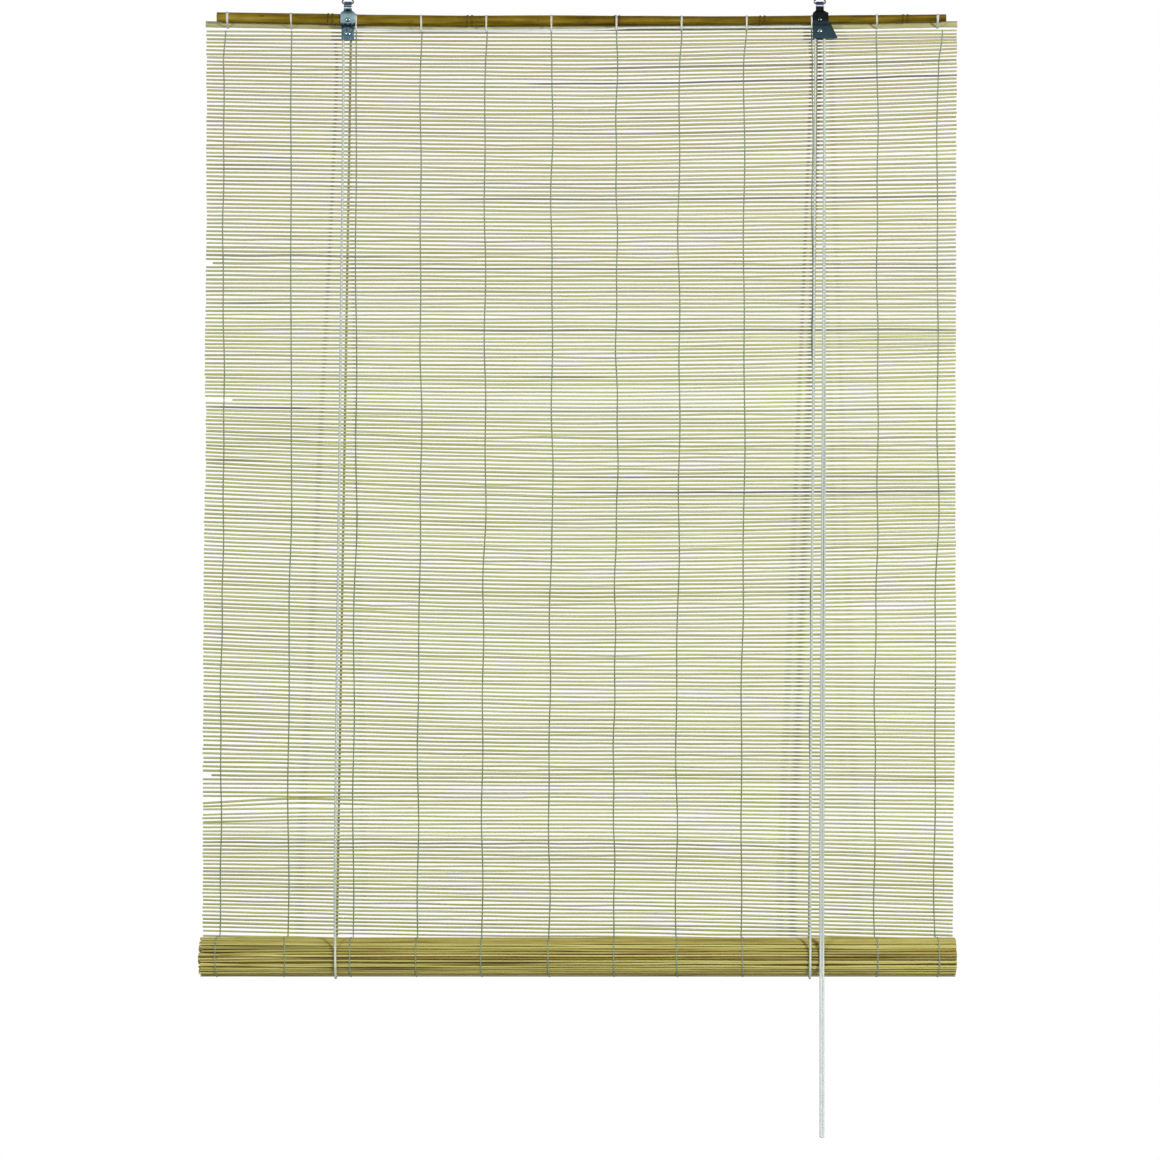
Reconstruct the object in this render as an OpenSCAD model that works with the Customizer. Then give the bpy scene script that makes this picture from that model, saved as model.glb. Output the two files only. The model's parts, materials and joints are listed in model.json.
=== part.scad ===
// Bamboo roll up blind, hung by two wire rings and partly rolled up.
// Millimetres. +Z is up, +X to the right and +Y towards the window.
// The origin is mid-way between the rings, at the level of the hooks they hang from.

/* [Mat] */
// Length of the mat's sticks
mat_w = 902; // [760:2:1100]
// Number of sticks that hang between the batten and the roll
stick_count = 239; // [101:2:241]
// Thickness of a stick
stick_d = 2.6; // [2:0.1:3]
// Distance from one stick to the next
stick_pitch = 4.63; // [4:0.01:5.2]
// Thickness of the wall between two sticks
web_t = 0.8; // [0.5:0.1:1.2]
// Uncut margin at each side of the mat
edge_margin = 6; // [3:0.5:20]

/* [Threads] */
// Number of warp threads that tie the sticks
thread_count = 12; // [6:1:14]
// Distance of the outer threads from the mat's side edges
thread_inset = 22; // [12:1:40]
// Width of a warp thread
thread_w = 1.2; // [0.8:0.1:2]
// Thickness of a warp thread
thread_t = 0.7; // [0.4:0.05:0.9]
// Width of the loops that tie the batten to the pole
loop_w = 2; // [1.2:0.1:4]
// Thickness of those loops
loop_t = 0.8; // [0.4:0.1:0.9]

/* [Head pole] */
// Length of the pole
pole_l = 874; // [740:2:1000]
// Diameter of the pole at its thick left end
pole_d_left = 13.4; // [12:0.1:14]
// Diameter of the pole at its thin right end
pole_d_right = 9.5; // [9:0.1:12]
// Sag of the pole's middle below its ends
pole_bow = 2.8; // [0:0.1:3]
// Drop from the hooks to the pole's ends
pole_drop = 30.6; // [30:0.1:34]
// Height of the ridges at the bamboo's nodes
node_ridge = 0.9; // [0.4:0.1:1]
// Share of the pole's thickness that is hollow
hollow_share = 0.45; // [0.3:0.01:0.6]
// Height of the flat batten behind the pole
batten_h = 8; // [6:0.1:10]
// Thickness of the batten
batten_t = 3; // [2:0.1:3.4]

/* [Brackets] */
// Place of the left bracket along the pole
left_x = -280; // [-290:1:-272]
// Place of the right bracket along the pole
right_x = 285.6; // [281:0.1:292]
// Thickness of the brackets' steel
sheet_t = 1; // [0.8:0.05:1.1]
// Width of the necks that hold the rings
neck_w = 9.6; // [8:0.1:9.6]
// Diameter of the rivets through the pole
rivet_d = 3; // [2.4:0.1:3.4]
// Height of the rivets' heads
rivet_head_h = 1.1; // [0.7:0.05:1.3]

/* [Rings] */
// Thickness of the rings' wire
wire_d = 1.8; // [1.4:0.1:2]
// Length of the straight base of a ring
ring_base = 9.8; // [9.7:0.1:12]
// Height of a ring, from the middle of its base wire to its inside top
ring_h = 12; // [11:0.1:15]
// Bend radius of the wire at a ring's corners
ring_bend = 1.7; // [1.5:0.1:2.2]

/* [Pulleys and lock] */
// Radius at which the cord's middle runs on a pulley
pulley_r = 5.5; // [5.2:0.1:5.7]
// How far the pulleys' rims stand out past the cord's middle
rim_h = 0.7; // [0.2:0.05:0.8]
// Width of the left pulley
left_pulley_w = 5; // [4.8:0.1:7]
// Width of the right pulley, which has two grooves
right_pulley_w = 9; // [8.8:0.1:10]
// Radius of the toothed lock roller
lock_r = 3.9; // [3.2:0.05:3.9]
// Number of teeth on the lock roller
lock_teeth = 16; // [10:1:24]

/* [Cords] */
// Diameter of all cords
cord_d = 2.8; // [2:0.1:2.8]
// Distance between the two strands of the pull cord
strand_pitch = 3.1; // [3.05:0.05:4]
// Length of the pull cord below the roll's middle
tail_l = 212; // [120:1:600]

/* [Roll] */
// Diameter of the rolled-up part of the mat
roll_d = 47.4; // [40:0.2:56]
// Number of sticks round the outer turn
roll_sticks = 53; // [36:1:64]
// Number of turns that show at the roll's ends
roll_turns = 5; // [3:1:6]
// Diameter of the rod at the roll's core
core_d = 9.4; // [7:0.1:11]
// How far the rolled sticks lie to the left of the pole's middle
roll_shift = 4; // [0:0.5:8]

/* [Hidden] */
$fn = 48;

// Clearances: pieces that are tied, pieces that pass, and running bores
seat = 0.05;
clear = 0.3;
run = 0.08;
// Overlap that lets a cut pass right through
through = 1;

bamboo = [0.50, 0.42, 0.14];
pale_wood = [0.72, 0.69, 0.41];
stick_wood = [0.80, 0.79, 0.62];
rolled_wood = [0.66, 0.62, 0.36];
thread_grey = [0.50, 0.57, 0.48];
loop_white = [0.88, 0.88, 0.84];
steel_pale = [0.60, 0.69, 0.71];
steel_dark = [0.16, 0.22, 0.25];
cord_white = [0.80, 0.82, 0.81];

// The pole: straight lengths of bamboo between its nodes, in a slight sag
node_shares = [0.156, 0.347, 0.549, 0.748, 0.944];
stations = concat([-pole_l / 2], [for (s = node_shares) (s - 0.5) * pole_l], [pole_l / 2]);
function sag_z(x) = -pole_drop - pole_bow * (1 - pow(2 * x / pole_l, 2));
function pole_z(x) = lookup(x, [for (s = stations) [s, sag_z(s)]]);
function pole_r(x) = (pole_d_left + (pole_d_right - pole_d_left) * (x / pole_l + 0.5)) / 2;
collar_w = 8;
node_gap = 1;
node_sink = 0.4;
hollow_l = 60;

// The mat hangs behind the pole and the brackets, under the batten
mat_gap = 6;
mat_y = pole_d_left / 2 + mat_gap;
stick_r = stick_d / 2;
batten_top = -pole_drop - 3.4;
batten_bottom = batten_top - batten_h;
first_stick_z = batten_bottom - 5.2;
function stick_z(i) = first_stick_z - i * stick_pitch;
mat_bottom = stick_z(stick_count - 1) - stick_r;
// A stick's section: half height at the wall, and half height of its flat crest
stick_root = 0.95 * stick_r;
stick_crest = 0.42 * stick_r;
slot_bite = 0.1;
thread_pitch = (mat_w - 2 * thread_inset) / (thread_count - 1);
thread_shift = 2.9;
function thread_x(i) = (i - (thread_count - 1) / 2) * thread_pitch + thread_shift;
thread_front = mat_y - stick_r - seat - thread_t;
thread_back = mat_y + stick_r + seat;
loop_gap = 0.2;
// The threads start under the loops, which dip where they also hold the cord
loop_dip = 0.85;
thread_top = batten_bottom - loop_gap - loop_t - loop_dip - seat;

// Brackets: a folded strip with an eye for the ring, over the pole and down to the pulley
eye_z = -ring_h;
eye_r = wire_d / 2 + 0.2;
neck_bottom = -20.5;
shoulder_z = -23.5;
left_step_z = pole_z(left_x) - 5.8;
left_axle_z = pole_z(left_x) - 16.4;
left_bottom = left_axle_z - 7.8;
left_upper = pole_r(left_x) + clear;
left_lower = left_pulley_w / 2 + clear;
left_wide = 8.6;
left_narrow = 7.5;
right_axle_z = pole_z(right_x) - 13.6;
right_bottom = right_axle_z - 8.8;
right_step_z = pole_z(right_x) - 4.4;
right_upper = pole_r(right_x) + clear;
right_lower = right_pulley_w / 2 + clear;
right_near = 8.4;
right_far = 10.2;
// The lock's slanted side, measured from the bracket's middle
ramp_top = [12.6, pole_z(right_x) - 3.8];
ramp_low = [21, right_bottom + 1.2];
ramp_dir = (ramp_low - ramp_top) / norm(ramp_low - ramp_top);
ramp_in = [ramp_dir[1], -ramp_dir[0]];
// The slanted wall starts under the pole, though the plates start beside it
under_pole = pole_z(right_x) - pole_r(right_x) - clear;
wall_top = ramp_top + (ramp_top[1] - under_pole) / -ramp_dir[1] * ramp_dir;
lock_down = 7.6;
lock_at = ramp_top + lock_down * ramp_dir + (sheet_t + clear + lock_r) * ramp_in;
lock_l = 2 * right_lower - 2 * clear;
tooth_h = 0.6;
lip_from = 10.5;

// Rings: a triangle of wire whose corners are arcs of one radius
ring_corner = [ring_base / 2, eye_z + ring_bend];
ring_top = [0, wire_d / 2 - ring_bend];
// The wire swells a little where its bends begin
bend_swell = 0.06;
bend_gap = 0.1;
ring_side = atan2(ring_corner[0], ring_top[1] - ring_corner[1]);

// Pulleys and rivets
cord_r = cord_d / 2;
rivet_clear = 0.05;
head_root = 0.3;
groove_y = right_pulley_w / 4 - 0.2;

// The roll hangs in its slings, in front of the mat's lower edge
roll_r = roll_d / 2;
roll_thread_t = 0.6;
roll_y = thread_front - clear - roll_thread_t - seat - roll_r;
roll_z = mat_bottom - 3.6;
roll_l = mat_w + 2;
roll_root = 0.7;
turn_groove = 0.8;
turn_depth = 4;
core_inset = 3;
sling_r = roll_r + clear + cord_r;
rear_y = thread_back + thread_t + clear + cord_r + 0.1;
rear_r = rear_y - roll_y;
rear_z = roll_z - sling_r + rear_r;
front_y = roll_y - sling_r;
sling_x = [-291, 272];

// Cord ties round the batten
tie_x = [left_x + 5.4, right_x - 4.6];
tie_w = 2.8;
tie_t = 1.4;
tie_back = rear_y + cord_r - 0.5;
tie_z = batten_bottom - clear - tie_t;

// Cord routes, by the pulleys, the roll and the slings that carry them
cord_sides = 8;
pull_x = 287.7;
tail_end = roll_z - tail_l;
function arc_points(x, y, z, from, to, steps) =
    [for (k = [0:steps]) let (a = from + (to - from) * k / steps)
        [x + pulley_r * cos(a), y, z + pulley_r * sin(a)]];
cross_route = concat(
    arc_points(left_x, 0, left_axle_z, 180, 90, 6),
    arc_points(right_x, -groove_y, right_axle_z, 90, 0, 6));
lock_route = arc_points(right_x, groove_y, right_axle_z, 180, 0, 12);
strand_x = [pull_x - strand_pitch / 2, pull_x + strand_pitch / 2];
// Half way down, the two strands have turned an eighth round each other
twist_half = 1.25 * [1, 1];
twist_mid = [(right_x + pulley_r + pull_x) / 2, front_y / 2];

// One internode of the pole, from station i to the next; it stops inside the ridges at a node
module internode(i) {
    a = stations[i];
    b = stations[i + 1];
    span = [b - a, sag_z(b) - sag_z(a)];
    start = i == 0 ? 0 : node_gap;
    end = i == len(stations) - 2 ? 0 : node_gap;
    translate([a, 0, sag_z(a)])
        rotate([0, atan2(span[0], span[1]), 0])
            translate([0, 0, start])
                cylinder(h = norm(span) - start - end, r1 = pole_r(a + start), r2 = pole_r(b - end));
}

// The double ridge at a node of the bamboo
module node_collar(x) {
    r = pole_r(x);
    half = collar_w / 2;
    translate([x, 0, sag_z(x)])
        rotate([0, 90, 0])
            rotate_extrude()
                polygon([
                    [0, -half], [r - node_sink, -half], [r + node_ridge, -0.6 * half],
                    [r + 0.35 * node_ridge, 0],
                    [r + node_ridge, 0.6 * half], [r - node_sink, half], [0, half]
                ]);
}

// The hollow in one end of the pole
module pole_hollow(x, inward) {
    translate([x - inward * through, 0, sag_z(x)])
        rotate([0, inward * 90, 0])
            cylinder(h = hollow_l + through, r = hollow_share * pole_r(x));
}

module pole() {
    color(bamboo)
        difference() {
            union() {
                for (i = [0:len(stations) - 2]) internode(i);
                for (s = node_shares) node_collar((s - 0.5) * pole_l);
            }
            pole_hollow(-pole_l / 2, 1);
            pole_hollow(pole_l / 2, -1);
            for (x = [left_x, right_x]) across(x, pole_z(x), 2 * pole_d_left, rivet_d / 2 + rivet_clear);
        }
}

// A cylinder along Y, centred on the pole's axis plane
module across(x, z, length, r) {
    translate([x, 0, z])
        rotate([90, 0, 0])
            cylinder(h = length, r = r, center = true);
}

// A section drawn in Y and Z, run along X
module along_x(x, length) {
    translate([x - length / 2, 0, 0])
        rotate([90, 0, 90])
            linear_extrude(height = length) children();
}

// A face drawn in X and Z, run along Y
module along_y(depth) {
    rotate([90, 0, 0])
        linear_extrude(height = depth, center = true) children();
}

module batten() {
    chamfer = 0.8;
    front = mat_y - batten_t / 2;
    back = mat_y + batten_t / 2;
    color(pale_wood)
        along_x(0, mat_w)
            polygon([
                [front, batten_bottom + chamfer], [front + chamfer, batten_bottom], [back, batten_bottom],
                [back, batten_top], [front + chamfer, batten_top], [front, batten_top - chamfer]
            ]);
}

// The cross cord's middle in the section at x
function cord_at(x) =
    let (along = (x - left_x) / (right_x - left_x))
    [-groove_y * along, left_axle_z + pulley_r + (right_axle_z - left_axle_z) * along];

function bearing(v) = atan2(v[1], v[0]);

// Angle at c between a point p and the place where a line from p touches the circle
function touch(c, r, p) = acos(r / norm(p - c));

function arc_round(c, r, from, to) =
    let (steps = 10)
    [for (k = [0:steps]) let (a = from + (to - from) * k / steps) c + r * [cos(a), sin(a)]];

// Outline of a loop round the pole, the batten and, between the brackets, the cross cord, grown by g
function loop_outline(x, g) =
    let (
        pole_c = [0, pole_z(x)],
        big = pole_r(x) + node_ridge + g,
        cord_c = cord_at(x),
        small = cord_r + g,
        back = mat_y + batten_t / 2 + g,
        high = [back, batten_top + g],
        corner = [back, batten_bottom - g],
        low = [mat_y - batten_t / 2, batten_bottom - g],
        from = bearing(high - pole_c) + touch(pole_c, big, high),
        over = 360 + bearing(cord_c - pole_c) - acos((big - small) / norm(cord_c - pole_c))
    )
    x > left_x && x < right_x
        ? concat(
            arc_round(pole_c, big, from, over),
            arc_round(cord_c, small, over, 360 + bearing(corner - cord_c) - touch(cord_c, small, corner)),
            [corner, high])
        : concat(
            arc_round(pole_c, big, from, 360 + bearing(low - pole_c) - touch(pole_c, big, low)),
            [low, corner, high]);

module thread_loops() {
    color(loop_white)
        for (i = [0:thread_count - 1]) {
            x = thread_x(i);
            along_x(x, loop_w)
                difference() {
                    polygon(loop_outline(x, loop_gap + loop_t));
                    polygon(loop_outline(x, loop_gap));
                }
        }
}

// Section of the mat: a ridge for each stick on both faces of a thin wall
function mat_front(i, side) =
    let (z = stick_z(i), wall = mat_y + side * web_t / 2, crest = mat_y + side * stick_r)
    [[wall, z + stick_root], [crest, z + stick_crest], [crest, z - stick_crest], [wall, z - stick_root]];

module slat_mat() {
    last = stick_count - 1;
    slot_h = stick_pitch - 2 * stick_root + 2 * slot_bite;
    color(stick_wood)
        difference() {
            along_x(0, mat_w)
                polygon(concat(
                    [for (i = [0:last]) each mat_front(i, -1)],
                    [for (i = [last:-1:0]) let (p = mat_front(i, 1)) each [p[3], p[2], p[1], p[0]]]));
            for (i = [0:2:last - 1])
                translate([0, mat_y, (stick_z(i) + stick_z(i + 1)) / 2])
                    cube([mat_w - 2 * edge_margin, stick_d + 2 * through, slot_h], center = true);
        }
}

module warp_threads() {
    color(thread_grey)
        for (i = [0:thread_count - 1], y = [thread_front, thread_back])
            translate([thread_x(i) - thread_w / 2, y, mat_bottom])
                cube([thread_w, thread_t, thread_top - mat_bottom]);
}

// Half section of a bracket's folded strip, from the eye down to its lower edge
module strip_half(upper, lower, step_z, low) {
    step_h = 3;
    bend = 1.5;
    middle = -sheet_t / 2;
    polygon([
        [middle, eye_z], [sheet_t, eye_z], [sheet_t, neck_bottom], [upper + sheet_t, shoulder_z - bend],
        [upper + sheet_t, step_z], [lower + sheet_t, step_z - step_h], [lower + sheet_t, low],
        [lower, low], [lower, step_z - step_h - 0.3], [upper, step_z - 0.3],
        [upper, shoulder_z - bend - 0.4], [0, neck_bottom - sheet_t], [middle, neck_bottom - sheet_t]
    ]);
}

module strip(x, half_w, upper, lower, step_z, low) {
    wide = 2 * half_w;
    difference() {
        union() {
            for (side = [0, 1])
                mirror([0, side, 0]) along_x(x, wide) strip_half(upper, lower, step_z, low);
            along_x(x, wide) translate([0, eye_z]) circle(r = eye_r + sheet_t);
        }
        along_x(x, wide + through) translate([0, eye_z]) circle(r = eye_r);
    }
}

// Face of a bracket: the neck, then the outline below its shoulders
module plate_face(x, below) {
    half = neck_w / 2;
    top = eye_z + eye_r + sheet_t + through;
    translate([x, 0])
        polygon(concat([[half, top], [-half, top], [-half, neck_bottom]], below, [[half, neck_bottom]]));
}

module left_bracket() {
    deep = 2 * (left_upper + sheet_t + through);
    color(steel_pale)
        difference() {
            intersection() {
                strip(left_x, left_wide + through, left_upper, left_lower, left_step_z, left_bottom);
                along_y(deep)
                    plate_face(left_x, [
                        [-left_wide, shoulder_z], [-left_wide, left_step_z],
                        [-left_narrow, left_step_z - 2], [-left_narrow, left_bottom + 2],
                        [2 - left_narrow, left_bottom], [left_narrow - 2, left_bottom],
                        [left_narrow, left_bottom + 2], [left_narrow, left_step_z - 2],
                        [left_wide, left_step_z], [left_wide, shoulder_z]
                    ]);
            }
            across(left_x, pole_z(left_x), deep, rivet_d / 2 + rivet_clear);
            across(left_x, left_axle_z, deep, rivet_d / 2 + rivet_clear);
        }
}

// The lock's slanted side wall and the lip under the roller, before they are trimmed outside
module lock_walls() {
    spare = 2;
    inside = sheet_t * ramp_in;
    outside = -spare * ramp_in;
    past = spare * ramp_dir;
    translate([right_x, 0]) {
        polygon([wall_top + inside, ramp_low + inside + past, ramp_low + outside + past, wall_top + outside]);
        translate([lip_from, right_bottom - spare])
            square([ramp_low[0] - lip_from + spare, sheet_t + spare]);
    }
}

module right_bracket() {
    deep = 2 * (right_upper + sheet_t + through);
    color(steel_dark)
        difference() {
            intersection() {
                union() {
                    strip(right_x, ramp_low[0] + through, right_upper, right_lower, right_step_z, right_bottom);
                    along_y(2 * right_lower + sheet_t) lock_walls();
                }
                along_y(deep)
                    plate_face(right_x, [
                        [-right_near, shoulder_z], [-right_near, right_bottom],
                        [ramp_low[0] - 0.8, right_bottom], ramp_low, ramp_top,
                        [right_far, ramp_top[1] + 2], [right_far, shoulder_z]
                    ]);
            }
            across(right_x, pole_z(right_x), deep, rivet_d / 2 + rivet_clear);
            across(right_x, right_axle_z, deep, rivet_d / 2 + rivet_clear);
        }
}

// A rivet along Y with a low dome at each end
module rivet(x, z, grip) {
    head_r = 0.85 * rivet_d;
    dome = (head_r * head_r + rivet_head_h * rivet_head_h) / (2 * rivet_head_h);
    across(x, z, grip + 2 * head_root, rivet_d / 2);
    for (side = [-1, 1])
        translate([x, side * grip / 2, z])
            rotate([-90 * side, 0, 0])
                rotate_extrude()
                    intersection() {
                        translate([0, rivet_head_h - dome]) circle(r = dome);
                        square([head_r, rivet_head_h]);
                    }
}

module pole_rivets() {
    color(steel_pale) {
        rivet(left_x, pole_z(left_x), 2 * (left_upper + sheet_t));
        rivet(right_x, pole_z(right_x), 2 * (right_upper + sheet_t));
    }
}

module left_axle() {
    color(steel_pale) rivet(left_x, left_axle_z, 2 * (left_lower + sheet_t));
}

module right_axle() {
    color(steel_pale) rivet(right_x, right_axle_z, 2 * (right_lower + sheet_t));
}

// A straight wire in the XZ plane from p to q, which stops just short of the bends
module wire(p, q) {
    span = q - p;
    translate([p[0], 0, p[1]])
        rotate([0, atan2(span[0], span[1]), 0])
            translate([0, 0, bend_gap]) cylinder(h = norm(span) - 2 * bend_gap, d = wire_d);
}

// A bend of the wire about c, from one angle to another
module wire_bend(c, from, to) {
    short = bend_gap / ring_bend * 180 / PI;
    translate([c[0], 0, c[1]])
        rotate([90, 0, 0])
            rotate([0, 0, from + short])
                rotate_extrude(angle = to - from - 2 * short)
                    translate([ring_bend, 0]) circle(d = wire_d);
}

module ring(x) {
    out = ring_bend * [cos(ring_side), sin(ring_side)];
    foot = [ring_corner[0], eye_z];
    hip = ring_corner + out;
    neck = ring_top + out;
    color(steel_pale)
        translate([x, 0, 0]) {
            wire([-foot[0], foot[1]], foot);
            wire_bend(ring_top, ring_side, 180 - ring_side);
            for (side = [0, 1])
                mirror([side, 0, 0]) {
                    wire(hip, neck);
                    wire_bend(ring_corner, -90, ring_side);
                    for (p = [foot, hip, neck])
                        translate([p[0], 0, p[1]]) sphere(d = wire_d + bend_swell);
                }
        }
}

module left_ring() { ring(left_x); }

module right_ring() { ring(right_x); }

// A pulley about Y with round grooves at the given places along its width
module pulley(x, z, width, grooves) {
    rim = pulley_r + rim_h;
    bore = rivet_d / 2 + run;
    translate([x, 0, z])
        rotate([90, 0, 0])
            rotate_extrude()
                difference() {
                    translate([bore, -width / 2]) square([rim - bore, width]);
                    for (g = grooves) translate([pulley_r, g]) circle(r = cord_r + 0.2);
                    for (g = grooves)
                        translate([pulley_r, g - cord_r - 0.2]) square([2 * rim_h, 2 * cord_r + 0.4]);
                }
}

module left_pulley() {
    color(steel_pale) pulley(left_x, left_axle_z, left_pulley_w, [0]);
}

module right_pulley() {
    color(steel_pale) pulley(right_x, right_axle_z, right_pulley_w, [-groove_y, groove_y]);
}

module lock_roller() {
    points = 2 * lock_teeth;
    color(steel_pale)
        translate([right_x, 0, 0])
            along_y(lock_l)
                translate(lock_at)
                    polygon([for (k = [0:points - 1])
                        (lock_r - tooth_h * (k % 2)) * [cos(180 * k / lock_teeth), sin(180 * k / lock_teeth)]]);
}

// Direction of a route at its point i
function heading(route, i) =
    let (a = route[max(i - 1, 0)], b = route[min(i + 1, len(route) - 1)])
    (b - a) / norm(b - a);

// One ring of a cord's tube, square to the route
function cord_ring(route, i) =
    let (
        h = heading(route, i),
        side = abs(h[1]) > 0.9 ? [1, 0, 0] : [0, 1, 0],
        u = cross(h, side) / norm(cross(h, side)),
        v = cross(h, u)
    )
    [for (k = [0:cord_sides - 1]) let (a = 360 * k / cord_sides)
        route[i] + cord_r * (cos(a) * u + sin(a) * v)];

// A cord as one tube along its route
module cord(route) {
    n = len(route);
    s = cord_sides;
    color(cord_white)
        polyhedron(
            points = [for (i = [0:n - 1]) each cord_ring(route, i)],
            faces = concat(
                [[for (k = [0:s - 1]) k]],
                [for (i = [0:n - 2], k = [0:s - 1])
                    [i * s + k, (i + 1) * s + k, (i + 1) * s + (k + 1) % s, i * s + (k + 1) % s]],
                [[for (k = [s - 1:-1:0]) (n - 1) * s + k]]));
}

module cross_cord() { cord(cross_route); }

module lock_cord() { cord(lock_route); }

module left_front_cord() {
    cord([[left_x - pulley_r, 0, left_axle_z - clear], [sling_x[0], front_y, roll_z + seat]]);
}

module right_front_cord() {
    cord([[right_x - pulley_r, groove_y, right_axle_z - clear], [sling_x[1], front_y, roll_z + seat]]);
}

// The cord's knot round the batten
module cord_tie(x) {
    front = mat_y - batten_t / 2 - clear;
    back = mat_y + batten_t / 2 + clear;
    color(cord_white)
        along_x(x, tie_w)
            difference() {
                translate([front - tie_t, tie_z])
                    square([tie_back - front + tie_t, batten_h + 2 * (clear + tie_t)]);
                translate([front, batten_bottom - clear])
                    square([back - front, batten_h + 2 * clear]);
            }
}

module left_cord_tie() { cord_tie(tie_x[0]); }

module right_cord_tie() { cord_tie(tie_x[1]); }

module rear_cord(i) {
    cord([[tie_x[i], rear_y, tie_z - seat], [sling_x[i], rear_y, rear_z + seat]]);
}

module left_rear_cord() { rear_cord(0); }

module right_rear_cord() { rear_cord(1); }

// A quarter turn of cord in the YZ plane
module cord_quarter(x, z, r, from) {
    translate([x, roll_y, z])
        rotate([90, 0, 90])
            rotate([0, 0, from])
                rotate_extrude(angle = 90)
                    translate([r, 0]) circle(d = cord_d);
}

// The cord under the roll, from its front up to the mat's back
module sling(x) {
    color(cord_white) {
        cord_quarter(x, roll_z, sling_r, 180);
        cord_quarter(x, rear_z, rear_r, 270);
    }
}

module left_sling() { sling(sling_x[0]); }

module right_sling() { sling(sling_x[1]); }

// Outline of the roll: a ridge for each stick of its outer turn
function roll_outline() =
    [for (i = [0:roll_sticks - 1], part = [0:2])
        let (a = 360 * (i + [0, 0.3, 0.7][part]) / roll_sticks, r = part == 0 ? roll_r - roll_root : roll_r)
        r * [cos(a), sin(a)]];

// Outline of the spiral groove between the turns, at one edge of the groove
function spiral(offset) =
    let (steps = 16 * roll_turns, inner = core_d / 2 + 2.4, outer = roll_r - 2.6)
    [for (k = [0:steps])
        let (a = 360 * roll_turns * k / steps, r = inner + (outer - inner) * k / steps + offset)
        r * [cos(a), sin(a)]];

module mat_roll() {
    inner_edge = spiral(0);
    outer_edge = spiral(turn_groove);
    last = len(inner_edge) - 1;
    groove = concat(inner_edge, [for (k = [last:-1:0]) outer_edge[k]]);
    color(rolled_wood)
        translate([-roll_shift, roll_y, roll_z])
            difference() {
                along_x(0, roll_l) polygon(roll_outline());
                along_x(0, roll_l + 2 * through) circle(r = core_d / 2 + clear);
                for (side = [-1, 1])
                    along_x(side * (roll_l / 2 - turn_depth / 2 + through / 2), turn_depth + through)
                        polygon(groove);
            }
}

module core_rod() {
    color(bamboo)
        translate([-roll_shift, roll_y, roll_z])
            along_x(0, roll_l - 2 * core_inset) circle(d = core_d);
}

module roll_threads() {
    inner = roll_r + seat;
    color(thread_grey)
        for (i = [0:thread_count - 1])
            translate([thread_x(i), roll_y, roll_z])
                along_x(0, thread_w)
                    difference() {
                        circle(r = inner + roll_thread_t);
                        circle(r = inner);
                    }
}

module pull_cord_upper() {
    for (i = [0, 1], mid = [twist_mid + (2 * i - 1) * twist_half])
        cord([
            [right_x + pulley_r, (2 * i - 1) * groove_y, right_axle_z - clear],
            [mid[0], mid[1], (right_axle_z + roll_z) / 2],
            [strand_x[i], front_y, roll_z]
        ]);
}

module pull_cord_tail() {
    for (x = strand_x) cord([[x, front_y, roll_z - seat], [x, front_y, tail_end]]);
}

// The bight at the pull cord's end
module pull_loop() {
    color(cord_white)
        translate([pull_x, front_y, tail_end - seat])
            rotate([90, 0, 0])
                rotate([0, 0, 180])
                    rotate_extrude(angle = 180)
                        translate([strand_pitch / 2, 0]) circle(d = cord_d);
}

pole();
batten();
thread_loops();
slat_mat();
warp_threads();
left_bracket();
right_bracket();
pole_rivets();
left_axle();
right_axle();
left_ring();
right_ring();
left_pulley();
right_pulley();
lock_roller();
cross_cord();
lock_cord();
left_front_cord();
right_front_cord();
left_cord_tie();
right_cord_tie();
left_rear_cord();
right_rear_cord();
left_sling();
right_sling();
mat_roll();
core_rod();
roll_threads();
pull_cord_upper();
pull_cord_tail();
pull_loop();
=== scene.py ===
"""Looks of a bamboo roll up blind, dressed round its frame.

Metres. +Z is up, +X is right as the blind is seen from the room, and its face looks along -Y.
The two hanging rings meet their hooks at z = 0.
"""

import json
import math
import random

import bmesh
import bpy
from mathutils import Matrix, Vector


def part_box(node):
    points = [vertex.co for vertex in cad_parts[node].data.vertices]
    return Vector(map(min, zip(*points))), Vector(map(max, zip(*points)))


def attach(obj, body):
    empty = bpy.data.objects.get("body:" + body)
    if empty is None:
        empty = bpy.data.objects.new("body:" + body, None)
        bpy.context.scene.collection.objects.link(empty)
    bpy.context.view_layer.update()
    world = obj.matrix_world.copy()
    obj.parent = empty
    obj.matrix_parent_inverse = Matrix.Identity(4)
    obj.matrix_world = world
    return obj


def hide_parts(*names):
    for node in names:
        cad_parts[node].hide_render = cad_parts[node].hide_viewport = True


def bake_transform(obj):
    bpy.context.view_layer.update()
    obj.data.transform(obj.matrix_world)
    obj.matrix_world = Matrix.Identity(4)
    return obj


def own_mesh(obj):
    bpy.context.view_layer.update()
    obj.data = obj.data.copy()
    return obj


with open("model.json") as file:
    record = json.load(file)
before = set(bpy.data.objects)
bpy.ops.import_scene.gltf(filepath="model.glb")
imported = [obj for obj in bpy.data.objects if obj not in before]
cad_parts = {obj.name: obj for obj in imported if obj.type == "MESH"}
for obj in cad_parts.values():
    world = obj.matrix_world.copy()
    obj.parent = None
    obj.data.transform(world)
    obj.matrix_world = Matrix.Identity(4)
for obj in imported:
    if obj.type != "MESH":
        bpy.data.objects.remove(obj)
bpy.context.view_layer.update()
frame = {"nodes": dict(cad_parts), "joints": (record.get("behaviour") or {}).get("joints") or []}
dice = random.Random(41)
MM = 0.001
TURN = 2 * math.pi
RIGHT = Vector((1, 0, 0))
BACK = Vector((0, 1, 0))
UP = Vector((0, 0, 1))
WHITE = (1, 1, 1, 1)

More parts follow.
